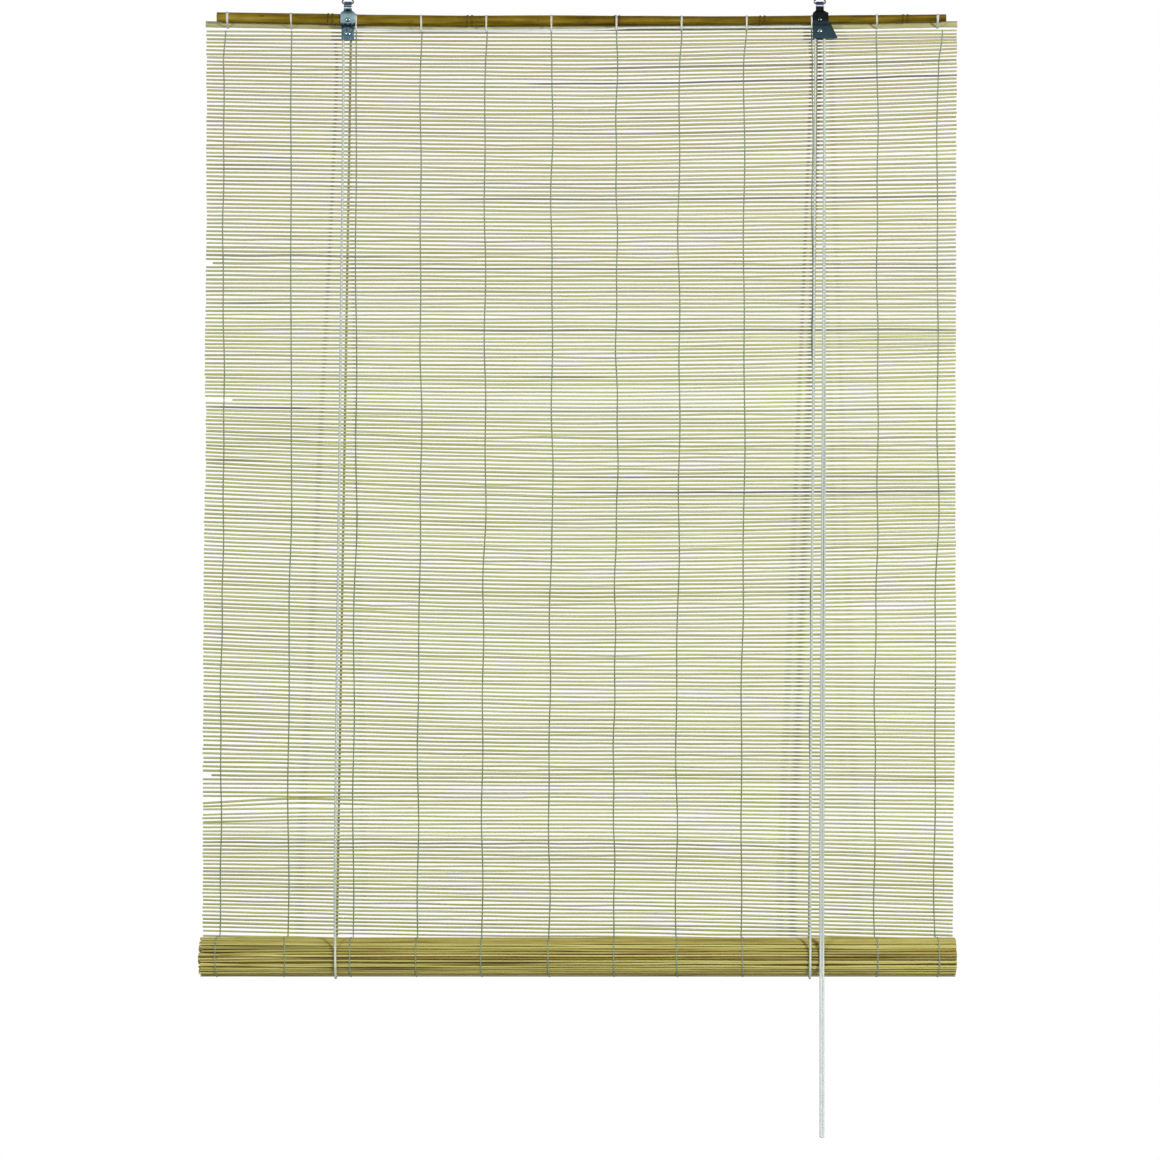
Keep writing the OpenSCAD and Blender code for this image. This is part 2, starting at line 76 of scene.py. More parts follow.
# The photograph's frame: its width in pixels, a pixel's size at the mat, and where its middle falls
IMAGE_PX = 1160
PX = 1.2 * MM
VIEW_X = -1.8 * MM
VIEW_Z = -703 * MM
VIEW_DISTANCE = 9.0


def corners(node):
    """Lowest and highest corner of a node of the frame."""
    low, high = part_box(node)
    return Vector(low), Vector(high)


def centre(node):
    low, high = corners(node)
    return (low + high) / 2


# Places and sizes that the frame gives
mat_low, mat_high = corners("slat_mat")
mat_y = (mat_low.y + mat_high.y) / 2
stick_room = mat_high.y - mat_low.y
half_mat = (mat_high.x - mat_low.x) / 2
pole_low, pole_high = corners("pole")
pole_length = pole_high.x - pole_low.x
batten_low, batten_high = corners("batten")
thread_low, thread_high = corners("warp_threads")
roll_low, roll_high = corners("mat_roll")
roll_axis = (roll_low + roll_high) / 2
roll_r = (roll_high.z - roll_low.z) / 2
left_hub = centre("left_pulley")
right_hub = centre("right_pulley")
lift = next(joint for joint in frame["joints"] if joint["name"] == "roll_lift")["range_m"][1]

# The mat: how many sticks, how finely they are drawn, and how thick they are split
STICKS = 239
STICK_SIDES = 7
STICK_STEPS = 40
THIN_STICK = 1.22 * MM
THICK_STICK = 1.48 * MM
END_TAPER = 0.94
first_z = mat_high.z - stick_room / 2
pitch = (mat_high.z - mat_low.z - stick_room) / (STICKS - 1)
# How the sticks' tones spread about the middle one, and how dark a tone may be
TONE_SPREAD = 0.085
TONE_LIMIT = 0.58
# How unevenly they end and lie, in millimetres, and how unevenly their corners are split and twist
LEFT_UNEVEN = 0.6
RIGHT_UNEVEN = 0.5
LIE_UNEVEN = 0.12
CORNER_UNEVEN = 0.2
CORNER_SIZES = (0.86, 1.08)
STICK_TWIST = 0.04
# Their waves, by height and length in millimetres
STICK_WAVES = ((0.05, 0.24), (70, 330))
# The share of them that have a bow, how far from the middle in metres, its width and height in millimetres
BOWED = 0.25
BOW_OFF = 0.4
BOW_WIDTHS = (18, 50)
BOW_HEIGHT = 1.1
# Where the sticks end, as the mat has slid: depth below the hooks, then place against the frame's.
# This list and those below it are in millimetres.
LEFT_END = [
    (40, 1.2), (280, 1), (367, 0.4), (420, -0.8), (463, -0.8), (520, 0.4), (570, 0.2), (655, -2), (750, -2.5),
    (950, -3.3), (1150, -3.6),
]
RIGHT_END = [
    (40, -0.4), (223, -1.4), (380, -1.7), (463, -2.1), (703, -2.2), (751, -1.4), (799, -1.6), (850, -2.7),
    (900, -2.9), (991, -4.8), (1150, -5.6),
]
# How far the sticks' ends stand above their middles: depth below the hooks, then rise
LEFT_RISE = [
    (40, 2.5), (150, 6), (270, 4), (380, 0.5), (440, 3), (600, 13), (690, 10.5), (810, 12), (860, 11),
    (985, 1), (1128, 7), (1150, 0.5),
]
RIGHT_RISE = [
    (46, 3.5), (80, 10), (140, 11.5), (270, 3.5), (385, 0), (445, 6), (565, 1), (680, 6.5), (860, -3),
    (930, -2.5), (1045, -10), (1128, -8.5), (1150, -3),
]
# How sharply they turn up towards their ends
RISE_CURVE = 1.5
# How far the mat leans in to meet the roll: depth below the hooks, then lean
LEAN = [(1100, 0), (1150, 0.75)]
# Grey or brown sticks: depth, from and to along the stick, and how dark
STAINED = [
    (91, 0, 460, 0.55), (107, -70, 460, 0.8), (150, 40, 130, 0.5), (169, -310, 330, 0.4),
    (200, -460, -330, 0.6), (208, -460, -340, 0.4), (216, -460, -320, 0.4), (230, -460, 460, 0.4),
    (248, -160, 460, 0.6), (315, -460, -220, 0.5), (329, -300, 460, 0.6), (371, -440, -350, 0.6),
    (405, -170, 460, 0.6), (461, -84, 36, 0.5), (501, -460, -310, 0.9), (501, -310, 460, 0.35),
    (538, -420, -300, 0.45), (571, -460, -375, 0.6), (581, -30, 460, 0.5), (599, -40, 460, 0.85),
    (1020, -460, 250, 0.45),
]
STAIN_SOFT = 25 * MM
# Sticks that start late at the left: depth, and how much is missing
BROKEN = [(323, 8), (492, 32.5), (940, 10)]
# Neighbouring sticks whose left ends hang down, from one depth on: how far each hangs, and bows up
DROOP_DEPTH = 968
DROOPED = [(3.8, 2), (3.2, 1.8), (1.6, 0), (3.6, 0), (3, 0), (2.4, 0)]
DROOP_FROM = -330 * MM
DROOP_CURVE = 1.4
BOW_AT = -345 * MM
BOW_REACH = 80 * MM

# The roll: its sticks' radius, how close they lie, a turn's thickness, its core, where its left ends fan out
ROLLED_STICK = 1.42 * MM
ROLL_SPACING = 3.3 * MM
ROLL_LAYER = 2.7 * MM
ROLL_CORE = 6.4 * MM
ROLL_FAN = -330 * MM
ROLL_STEPS = 30
# The share of a turn after which sticks slip inward, and how far ends draw in at the back, in millimetres
ROLL_SLIPS_FROM = 0.8
DRAWN_IN_LEFT = 2.5
DRAWN_IN_RIGHT = 2.6
# How unevenly the ends draw in, sticks skew and left ends fan, their waves, all in millimetres, and sizes
ROLL_LEFT_UNEVEN = (-2.2, 3.2)
ROLL_RIGHT_UNEVEN = (-0.4, 0.5)
ROLL_SKEW = 0.5
ROLL_FAN_SPREAD = 2
ROLL_WAVES = ((0.1, 0.4), (120, 500))
ROLL_SIZES = (0.84, 1.06)
# Their tones' spread, and their brown streaks: how many, where in metres, how long in millimetres, how dark
ROLL_TONE_SPREAD = 0.15
STREAK_COUNTS = (0, 0, 1, 2)
STREAK_PLACES = (-0.45, 0.4)
STREAK_REACHES = (20, 120)
STREAK_DARKS = (0.3, 0.9)
# Sticks of the mat that already lie on the roll's back, and how far they stand off its outer turn
JOINING = 2
JOIN_GAP = 0.55 * MM

# Warp threads: how many, how thick and round, how far a pair's strands part, and their plies' twist
THREADS = 12
THREAD_R = 0.4 * MM
THREAD_SIDES = 4
THREAD_SWAY = 0.42 * MM
PLY_TWIST = 1.6 * MM
# How wide the frame's threads are
THREAD_ROOM = 1.2 * MM
# Points of a strand from one stick to the next
STICK_PARTS = 4
# How threads sway, by height and length in millimetres
THREAD_WAVES = ((0.35, 0.8), (90, 300))
# How far each thread has slipped along the sticks, and how far all have with depth, in millimetres
THREAD_SLIP = (-3.1, 0, 0, -0.5, -1.3, 1, 0.7, -2.4, -2.4, 1.7, 1.6, -4.3)
THREAD_DRIFT = [
    (40, 0), (250, -0.6), (420, -0.5), (490, 0.2), (610, 0), (730, -2.2), (850, -3.4), (1100, -3.9),
]
# The depth over which a thread's own slip sets in, in millimetres
SLIP_DEPTH = 40
# How far each thread has slipped along the roll and leans, in millimetres, and how strands lie on it
ROLL_SLIP = (-2, -1.7, -0.7, 1.7, 3, 2.9, 3.8, 4.6, 2.9, 0, 2.2, 5)
ROLL_THREAD_UNEVEN = (-3.5, -0.5)
ROLL_THREAD_LEAN = 2
ROLL_DIP = 0.25 * MM
ROLL_THREAD_LIFT = 0.1 * MM
ROLL_THREAD_SIDES = 5
# The loops round the pole: their thread, its turns and lean, and how far the end ones have slipped
LOOP_R = 0.42 * MM
LOOP_SIDES = 6
LOOP_TURNS = 3
END_LOOP_TURNS = 4
LOOP_SPACING = 1.7 * LOOP_R
LOOP_LEAN = 0.5 * LOOP_R
LOOP_SLIP = {0: 1.6 * MM, 11: -5 * MM}

# The pole: how far its ends are below the hooks, how far it sags, and its nodes' places as shares of it
POLE_DROP = 30.6 * MM
POLE_BOW = 2.8 * MM
NODE_SHARES = [0.156, 0.347, 0.549, 0.748, 0.944]
node_places = [(share - 0.5) * pole_length for share in NODE_SHARES]
# The cane as it has grown: place along it, then diameter, or rise above its plain sag, in millimetres
POLE_D = [(-433, 11.8), (-200, 12.5), (-60, 12.7), (60, 11.4), (170, 9.9), (300, 9.8), (433, 9)]
POLE_RISE = [(-433, 2), (-320, 1.6), (-240, 0.5), (-150, 0.1), (4, 0.8), (160, 0.5), (330, 0.8), (433, 1)]
# Its hollow ends and their eased rims
POLE_HOLLOW = 0.45
HOLLOW_L = 60 * MM
RIM_EASE = 0.4 * MM
# A node's two ridges and the groove between them
NODE_RIDGE = 0.9 * MM
RIDGE_APART = 2.5 * MM
RIDGE_REACH = 1.1 * MM
GROOVE_DEPTH = 0.3 * NODE_RIDGE
GROOVE_REACH = 0.8 * MM
# The dark rings outside the ridges, and the paler stain about them
RING_PLACES = (-RIDGE_APART - 0.6 * MM, RIDGE_APART + 0.4 * MM)
RING_DARK = 0.7
RING_REACH = 0.7 * MM
NODE_STAIN = 0.25
NODE_STAIN_REACH = 9 * MM
# How far from round it is, and how finely it is drawn, more so near a node
POLE_LUMPS = (0.985, 1.015)
POLE_SIDES = 24
POLE_STEP = 6 * MM
NODE_STEP = 0.6 * MM
NODE_STEPS = 10

# The batten: how far its middle sags, how far its ends spring up from there, and its eased, uneven edges
BATTEN_SAG = 2.6 * MM
BATTEN_SPRING = 4.4 * MM
BATTEN_EASE = 0.7 * MM
TOP_EDGES = (0.86, 0.98)
FOOT_EDGES = (0.84, 0.94)
BATTEN_STEPS = 60

# Brackets: how far their cut edges are eased, and which angles count as flat or sharp
EDGE_EASE = 0.18 * MM
WELD = 0.002 * MM
FLAT_ANGLE = math.radians(1)
SHARP_ANGLE = math.radians(40)

# Rivets, and how far the frame's axle heads stand out
RIVET_R = 1.5 * MM
RIVET_SIDES = 20
HEAD_R = 3 * MM
HEAD_H = 0.85 * MM
HEAD_TIP = 0.02 * MM
HEAD_STEPS = 8
AXLE_HEAD_H = 1.1 * MM

# Cords, and the grooves that they run in
CORD_D = 2.8 * MM
CORD_SIDES = 10
PULLEY_R = 5.5 * MM
GROOVE_Y = 2.05 * MM
# How far below its pulley's axis a cord is free to be gathered up
LEAVE_DROP = 7 * MM
# Shares of a cord's fall at which it stops hanging plumb, has its middle, and hangs plumb again
PLUMB_TO = 0.08
FALL_MIDDLE = 0.48
PLUMB_FROM = 0.88
# How far the cross cord sags: place along it, then sag, in millimetres
CROSS_SAG = [(-270, 0), (-245, 0.4), (-220, 1.6), (-150, 2.2), (10, 2), (60, 0.2), (150, 0.1), (270, 0)]
# Where the cords run: slings and ties left and right, front and rear, and the pull cord's strands and end
SLING_X = (-294 * MM, 273 * MM)
TIE_X = (-276.6 * MM, 282.2 * MM)
FRONT_Y = -39.4 * MM
REAR_Y = 16.55 * MM
TIE_FOOT = -43.75 * MM
STRAND_X = (285.25 * MM, 288.35 * MM)
STRAND_MID = ((288.15 * MM, -20.95 * MM), (290.65 * MM, -18.45 * MM))
PULL_END = -1366.04 * MM
# Steps between two set points of a route, on a quarter and a half turn over a pulley, and on other bends
DROP_STEPS = 8
TAIL_STEPS = 24
CROSS_STEPS = 6
REAR_STEPS = 16
HUB_STEPS = 8
LOCK_STEPS = 14
BEND_STEPS = 12
# The rear cords' knots: the drawn cord, its two hitches round the batten, and the coil behind them
TIE_R = 0.8 * CORD_D / 2
TIE_SIDES = 8
HITCH_SHIFT = 1.1 * MM
HITCH_BEND = 2 * MM
HITCH_BACK = 1.2 * MM
CORNER_STEPS = 4
COIL_R = 0.85 * TIE_R
COIL_BACK = 1.4 * MM
COIL_UP = 2.4 * MM
COIL_WIDE = 1.5 * MM
COIL_DEEP = 0.9 * MM
COIL_HIGH = 1.3 * MM
COIL_STEPS = 20

# From where to where finishes change: warmer sticks, deeper sticks, threads that darken downwards and a
# greener cane
WARM_Z = (-0.5, -0.1)
DEEP_Z = (-0.7, -1.1)
DARKER_THREAD_Z = (-0.25, -0.75)
GREENER_X = (-0.3, 0)
# The cords' braid, and from how far above the roll's axis on they carry their full painted shade
BRAID_STRANDS = 8
BRAID_PITCH = 2.6 * MM
CORD_SHADE_HEIGHT = 40 * MM

# The studio: the room's own light, and each lamp's place, width and power
ROOM_LIGHT = 0.24
LAMP_TARGET = Vector((0, 0, -0.6))
LAMPS = [
    ("left_lamp", (-2.2, -3, 0.15), 0.46, 47),
    ("right_lamp", (2.2, -3, 0.15), 0.46, 104),
    ("rear_lamp", (0.6, 3.4, 0.4), 1.6, 46),
]
# The floor: its level and reach, how far from the hooks it fades into the room, and how much of it glows
FLOOR_LEVEL = -3.7
FLOOR_REACH = 14.0
FLOOR_FADE = (4.4, 10.0)
FLOOR_GLOW = 0.85


class Value:
    """A shader value: arithmetic on it adds Math nodes to its tree."""

    def __init__(self, nodes, socket):
        self.nodes = nodes
        self.socket = socket

    def math(self, operation, first, second):
        return self.nodes.node("ShaderNodeMath", {"operation": operation}, {0: first, 1: second})

    def __add__(self, other):
        return self.math("ADD", self, other)

    def __radd__(self, other):
        return self.math("ADD", other, self)

    def __sub__(self, other):
        return self.math("SUBTRACT", self, other)

    def __rsub__(self, other):
        return self.math("SUBTRACT", other, self)

    def __mul__(self, other):
        return self.math("MULTIPLY", self, other)

    def __rmul__(self, other):
        return self.math("MULTIPLY", other, self)

    def __truediv__(self, other):
        return self.math("DIVIDE", self, other)

    def __rtruediv__(self, other):
        return self.math("DIVIDE", other, self)


class Nodes:
    """A tree of shader nodes, which are added one by one."""

    def __init__(self, tree):
        self.tree = tree
        tree.nodes.clear()

    def node(self, kind, settings=None, sockets=None, out=0):
        """Adds a node of any type: its settings first, then the values or links of its sockets."""
        made = self.tree.nodes.new(kind)
        for key, value in (settings or {}).items():
            if key == "stops":
                set_stops(made.color_ramp, value)
            else:
                setattr(made, key, value)
        for key, value in (sockets or {}).items():
            if isinstance(value, Value):
                self.tree.links.new(value.socket, made.inputs[key])
            else:
                made.inputs[key].default_value = value
        return Value(self, made.outputs[out]) if made.outputs else None


class Finish(Nodes):
    """The nodes of a material, with short names for those that the blind's finishes share."""

    def __init__(self, name):
        self.material = bpy.data.materials.new(name)
        self.material.use_nodes = True
        super().__init__(self.material.node_tree)
        self.place = self.node("ShaderNodeTexCoord", out="Object")

    def split(self, vector, axis):
        return self.node("ShaderNodeSeparateXYZ", sockets={0: vector}, out=axis)

    def along(self, axis):
        """Place along an axis of the blind, in metres."""
        return self.split(self.place, axis)

    def wrap(self, axis):
        """Place on a tube: X is the share of the way round, Y the distance along in metres."""
        return self.split(self.node("ShaderNodeUVMap", {"uv_map": "wrap"}), axis)

    def carried(self, name):
        return self.node("ShaderNodeAttribute", {"attribute_name": name}, out="Fac")

    def noise(self, stretch, detail=2.0):
        scaled = self.node("ShaderNodeVectorMath", {"operation": "MULTIPLY"}, {0: self.place, 1: stretch})
        return self.node("ShaderNodeTexNoise", out="Fac",
                         sockets={"Vector": scaled, "Scale": 1.0, "Detail": detail})

    def wave(self, turns):
        return self.node("ShaderNodeMath", {"operation": "SINE"}, {0: turns * TURN})

    def ramp(self, value, stops):
        return self.node("ShaderNodeValToRGB", {"stops": stops}, {0: value})

    def mix(self, share, first, second, blend="MIX"):
        return self.node("ShaderNodeMix", {"data_type": "RGBA", "blend_type": blend},
                         {0: share, 6: first, 7: second}, out=2)

    def clamp(self, value):
        return self.node("ShaderNodeClamp", sockets={0: value})

    def fade(self, value, start, end):
        """How far a value is on its way from start to end, 0 before and 1 after."""
        return self.clamp((value - start) / (end - start))

    def bump(self, height, distance, strength):
        return self.node("ShaderNodeBump",
                         sockets={"Strength": strength, "Distance": distance, "Height": height})

    def surface(self, **sockets):
        """Ends the finish with its shader, whose sockets are named with _ for a space."""
        named = {key.replace("_", " "): value for key, value in sockets.items()}
        shader = self.node("ShaderNodeBsdfPrincipled", sockets=named)
        self.node("ShaderNodeOutputMaterial", sockets={"Surface": shader})
        return self.material


def set_stops(color_ramp, stops):
    """Gives a colour ramp its stops, each a place and a colour."""
    while len(color_ramp.elements) < len(stops):
        color_ramp.elements.new(1.0)
    for element, (place, colour) in zip(color_ramp.elements, stops):
        element.position = place
        element.color = colour


def paint(red, green, blue):
    """A colour as it looks on a screen, 0 to 255, as the linear colour that a shader takes."""
    shares = (red / 255, green / 255, blue / 255)
    return tuple(c / 12.92 if c <= 0.04045 else ((c + 0.055) / 1.055) ** 2.4 for c in shares) + (1.0,)


def stick_finish(name, stops, grey, warm):
    """Split bamboo: long fibres, a tone for each stick, grey lengths, and warmer wood near the head."""
    look = Finish(name)
    height = look.along("Z")
    fibre = look.noise((26, 800, 800), 3.0)
    patch = look.noise((7, 60, 60))
    tone = look.carried("tone") + (fibre - 0.5) * 0.5 + (patch - 0.5) * 0.35
    stain = look.carried("stain") * (0.75 + 0.5 * patch)
    deeper = tone + look.fade(height, *DEEP_Z) * 0.07
    colour = look.mix(look.fade(height, *WARM_Z) * 0.5, look.ramp(deeper, stops), warm)
    colour = look.mix(look.clamp(stain), colour, grey)
    return look.surface(Base_Color=colour, Roughness=0.5 + fibre * 0.25,
                        Normal=look.bump(fibre, 0.12 * MM, 0.5), Specular_IOR_Level=0.25)


def cane_finish():
    """Olive cane with long streaks, mottled bark and dark rings at its nodes."""
    look = Finish("cane")
    streak = look.noise((10, 260, 260), 4.0)
    mottle = look.noise((38, 110, 110), 3.0)
    greener = look.fade(look.along("X"), *GREENER_X)
    tone = streak * 0.7 + mottle * 0.3 + 0.05 - greener * 0.11
    colour = look.ramp(tone, [
        (0.3, paint(70, 52, 8)), (0.45, paint(106, 86, 16)),
        (0.58, paint(130, 110, 30)), (0.72, paint(156, 136, 56)),
    ])
    freckle = look.clamp((look.noise((170, 240, 240)) - 0.64) * 9)
    colour = look.mix(freckle * 0.55, colour, paint(60, 38, 6))
    ring = look.clamp(look.carried("stain") * (mottle * 2.4 - 0.4))
    colour = look.mix(ring, colour, paint(62, 44, 14))
    return look.surface(Base_Color=colour, Roughness=0.35 + mottle * 0.25,
                        Normal=look.bump(streak, 0.2 * MM, 0.35), Specular_IOR_Level=0.06)


def batten_finish():
    """Pale split strip with a long grain."""
    look = Finish("batten_strip")
    grain = look.noise((9, 500, 500), 4.0)
    cloud = look.noise((14, 40, 40))
    colour = look.ramp(grain * 0.6 + cloud * 0.4, [
        (0.32, paint(132, 126, 80)), (0.5, paint(164, 162, 112)), (0.68, paint(188, 186, 142)),
    ])
    return look.surface(Base_Color=colour, Roughness=0.5 + grain * 0.2,
                        Normal=look.bump(grain, 0.2 * MM, 0.5))


def thread_finish(name, pale, deep, darkening):
    """Thread of two plies, which wind round as slanted ridges. Lower down its colour is multiplied by
    darkening.
    """
    look = Finish(name)
    ply = look.wave(look.wrap("X") * 2 + look.wrap("Y") / PLY_TWIST)
    fluff = look.noise((900, 900, 900))
    shade = look.clamp(ply * 0.25 + fluff * 0.9)
    # The colour is multiplied by darkening towards the bottom.
    lower = look.fade(look.along("Z"), *DARKER_THREAD_Z)
    colour = look.mix(lower, look.mix(shade, deep, pale), darkening, "MULTIPLY")
    return look.surface(Base_Color=colour, Roughness=0.85, Normal=look.bump(ply + fluff, 0.1 * MM, 0.6))


def cord_finish(name, darkening):
    """Braided cord: two sets of strands that cross as a fine diamond. Above the roll its colour is multiplied
    by darkening, which on the front and rear cords is a painted shade where they hang over and behind the
    mat.
    """
    look = Finish(name)
    around = look.wrap("X") * BRAID_STRANDS
    along = look.wrap("Y") / BRAID_PITCH
    braid = look.wave(around + along) * look.wave(around - along)
    cloud = look.noise((300, 300, 60), 3.0)
    shade = look.clamp(0.42 + braid * 0.2 + (cloud - 0.5) * 0.9)
    unshaded_colour = look.mix(shade, paint(212, 226, 220), paint(250, 255, 252))
    # Painted shade: from the roll's axis upwards the colour fades into darkening.
    above_roll = look.fade(look.along("Z"), roll_axis.z, roll_axis.z + CORD_SHADE_HEIGHT)
    colour = look.mix(above_roll, unshaded_colour, darkening, "MULTIPLY")
    return look.surface(Base_Color=colour, Roughness=0.75, Normal=look.bump(braid, 0.25 * MM, 0.7))


def sheet_finish(name, bands, mottle_colour):
    """Zinc plated sheet, with painted reflections, highlights and shade in bands down its height, and mottled
    patches.

    A band is its height in millimetres and its colour.
    """
    look = Finish(name)
    cloud = look.noise((260, 260, 200), 3.0)
    speckle_noise = look.noise((700, 700, 240), 3.0)
    top, foot = bands[0][0] * MM, bands[-1][0] * MM
    down = (top - look.along("Z")) / (top - foot)
    stops = [((top - z * MM) / (top - foot), colour) for z, colour in bands]
    # The bands by height are painted reflections, highlights and shade at the folds and crease; the mottle is
    # patches of another colour.
    colour = look.ramp(down + (cloud - 0.5) * 0.03, stops)
    mottled_and_shaded = look.clamp((speckle_noise - 0.5) * 5)
    colour = look.mix(mottled_and_shaded * 0.5, colour, mottle_colour)
    return look.surface(Base_Color=colour, Metallic=0.85, Roughness=0.26 + cloud * 0.25,
                        Normal=look.bump(cloud, 0.12 * MM, 0.4))


def wire_finish(name, dark, pale):
    """Bright plated wire or turned steel."""
    look = Finish(name)
    cloud = look.noise((700, 700, 700), 3.0)
    # On the right bracket's pole rivet the carried value paints a dark reflection, as on its bracket;
    # elsewhere it carries real stains.
    colour = look.mix(look.carried("stain"), look.mix(cloud, dark, pale), paint(16, 18, 26))
    return look.surface(Base_Color=colour, Metallic=0.9, Roughness=0.08 + cloud * 0.1)


class Shape:
    """Points, faces and what they carry, gathered for one piece."""

    def __init__(self):
        self.points = []
        self.faces = []
        self.wraps = []
        self.smooth = []
        self.tones = []
        self.stains = []

    def tube(self, path, outline, axes=None, closed=False, tone=0.5, stain=None):
        """A tube along a path. outline(i) gives its section at point i, as shares of the two axes."""
        start = len(self.points)
        rings = len(path)
        sides = len(outline(0))
        along = [0.0]
        for here, there in zip(path, path[1:] + path[:1]):
            along.append(along[-1] + (there - here).length)
        turned = [axes] * rings if axes else square_axes(path)
        for i, (across, up) in enumerate(turned):
            self.points += [path[i] + across * a + up * b for a, b in outline(i)]
            self.tones += [tone] * sides
            self.stains += [stain(path[i].x) if stain else 0.0] * sides
        for i in range(rings if closed else rings - 1):
            here = start + i * sides
            there = start + (i + 1) % rings * sides
            for k in range(sides):
                after = (k + 1) % sides
                self.add((here + k, here + after, there + after, there + k), True,
                         ((k / sides, along[i]), ((k + 1) / sides, along[i]),
                          ((k + 1) / sides, along[i + 1]), (k / sides, along[i + 1])))
        if not closed:
            self.cap(start, sides, -1)
            self.cap(start + (rings - 1) * sides, sides, 1)

    def cap(self, ring, sides, facing):
        """A cut end. It has points of its own, so that the sides stay round up to the cut."""
        start = len(self.points)
        self.points += self.points[ring:ring + sides]
        self.tones += self.tones[ring:ring + sides]
        self.stains += self.stains[ring:ring + sides]
        self.add(tuple(range(start, start + sides))[::facing], False, [(0.5, 0.0)] * sides)

    def add(self, face, smooth, wrap):
        self.faces.append(face)
        self.smooth.append(smooth)
        self.wraps += wrap


def square_axes(path):
    """Two directions square to the path at each point, carried along it without twist."""
    last = len(path) - 1
    headings = [(path[min(i + 1, last)] - path[max(i - 1, 0)]).normalized() for i in range(len(path))]
    across = headings[0].orthogonal().normalized()
    result = []
    for heading in headings:
        across = (across - heading * across.dot(heading)).normalized()
        result.append((across, heading.cross(across)))
    return result


def circle(radius, steps, y=0.0, z=0.0):
    """Points round a circle in a plane."""
    angles = [TURN * k / steps for k in range(steps)]
    return [(y + radius * math.cos(a), z + radius * math.sin(a)) for a in angles]


def round_section(radius, sides):
    """A round section of one radius all along."""
    section = circle(radius, sides)
    return lambda i: section


def spread(start, end, steps):
    """Even places from start to end."""
    return [start + (end - start) * k / steps for k in range(steps + 1)]


def arc(middle, level, radius, start, end, steps):
    """Points of an upright arc, from one angle to another in degrees. level is its direction at 0."""
    angles = [math.radians(a) for a in spread(start, end, steps)]
    return [middle + radius * (level * math.cos(a) + UP * math.sin(a)) for a in angles]


def between(points, place):
    """A smooth reading between given points, each a place or depth and a value."""
    for (p0, v0), (p1, v1) in zip(points, points[1:]):
        if place <= p1:
            t = min(max((place - p0) / (p1 - p0), 0), 1)
            return v0 + (v1 - v0) * t * t * (3 - 2 * t)
    return points[-1][1]


def bell(offset, reach):
    """1 in the middle, and less and less to both sides."""
    return math.exp(-(offset / reach) ** 2)


def stray(reach):
    """A chance shift to either side."""
    return dice.uniform(-reach, reach)


def draw_waves(count, heights, lengths):
    """Waves of a chance height, length and phase, within ranges in millimetres."""
    return [(dice.uniform(*heights) * MM, dice.uniform(*lengths) * MM, dice.uniform(0, TURN))
            for _ in range(count)]


def ripple(waves, place):
    """How high the waves stand together at a place."""
    return sum(height * math.sin(TURN * place / length + phase) for height, length, phase in waves)


def add_object(name, mesh, finish):
    """Puts a mesh into the scene, in one finish."""
    mesh.materials.append(finish)
    added = bpy.data.objects.new(name, mesh)
    bpy.context.collection.objects.link(added)
    return added


def add_shape(name, shape, finish):
    """Turns a gathered shape into an object."""
    mesh = bpy.data.meshes.new(name)
    mesh.from_pydata(shape.points, [], shape.faces)
    layer = mesh.uv_layers.new(name="wrap")
    layer.data.foreach_set("uv", [share for corner in shape.wraps for share in corner])
    for label, values in (("tone", shape.tones), ("stain", shape.stains)):
        mesh.attributes.new(label, "FLOAT", "POINT").data.foreach_set("value", values)
    mesh.polygons.foreach_set("use_smooth", shape.smooth)
    return add_object(name, mesh, finish)


def make_piece(name, shape, finish, body, slot, *nodes):
    """Turns a shape into a piece that moves with a body and stands for nodes of the frame."""
    piece = add_shape(name, shape, finish)
    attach(piece, body)
    if nodes:
        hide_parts(*nodes)
    return piece


def gather_up(piece, top, foot):
    """Gives the piece a mesh of its own. The share that it would shorten by as the roll is lifted is worked
    out but not used.
    """
    1 - lift / (top - foot)
    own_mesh(piece)


def smooth_route(points, steps):
    """A smooth curve through given points."""
    points = [Vector(p) for p in points]
    ends = [2 * points[0] - points[1]] + points + [2 * points[-1] - points[-2]]
    route = []
    for a, b, c, d in zip(ends, ends[1:], ends[2:], ends[3:]):
        for k in range(steps):
            t = k / steps
            route.append(0.5 * (2 * b + (c - a) * t + (2 * a - 5 * b + 4 * c - d) * t ** 2
                                + (3 * b - a - 3 * c + d) * t ** 3))
    return route + [points[-1]]


def make_camera():
    """The photograph's view, square to the mat."""
    lens = bpy.data.cameras.new("camera")
    lens.lens = lens.sensor_width * VIEW_DISTANCE / (IMAGE_PX * PX)
    camera = bpy.data.objects.new("camera", lens)
    camera.location = (VIEW_X, mat_y - VIEW_DISTANCE, VIEW_Z)
    camera.rotation_euler = (math.radians(90), 0, 0)
    bpy.context.collection.objects.link(camera)
    bpy.context.scene.camera = camera


def cord_shape(route):
    shape = Shape()
    shape.tube(route, round_section(CORD_D / 2, CORD_SIDES))
    return shape


def cord_piece(name, finish, body, route, *nodes):
    return make_piece(name, cord_shape(route), finish, body, "cord", *nodes)


def drop_route(top, foot, middle):
    """A cord from its pulley to the roll's front, plumb at both ends so that it clears them when gathered."""
    fall = top.z - foot.z
    return smooth_route([
        top,
        (top.x, top.y, top.z - PLUMB_TO * fall),
        (middle[0], middle[1], top.z - FALL_MIDDLE * fall),
        (foot.x, foot.y, top.z - PLUMB_FROM * fall),
        foot,
    ], DROP_STEPS)


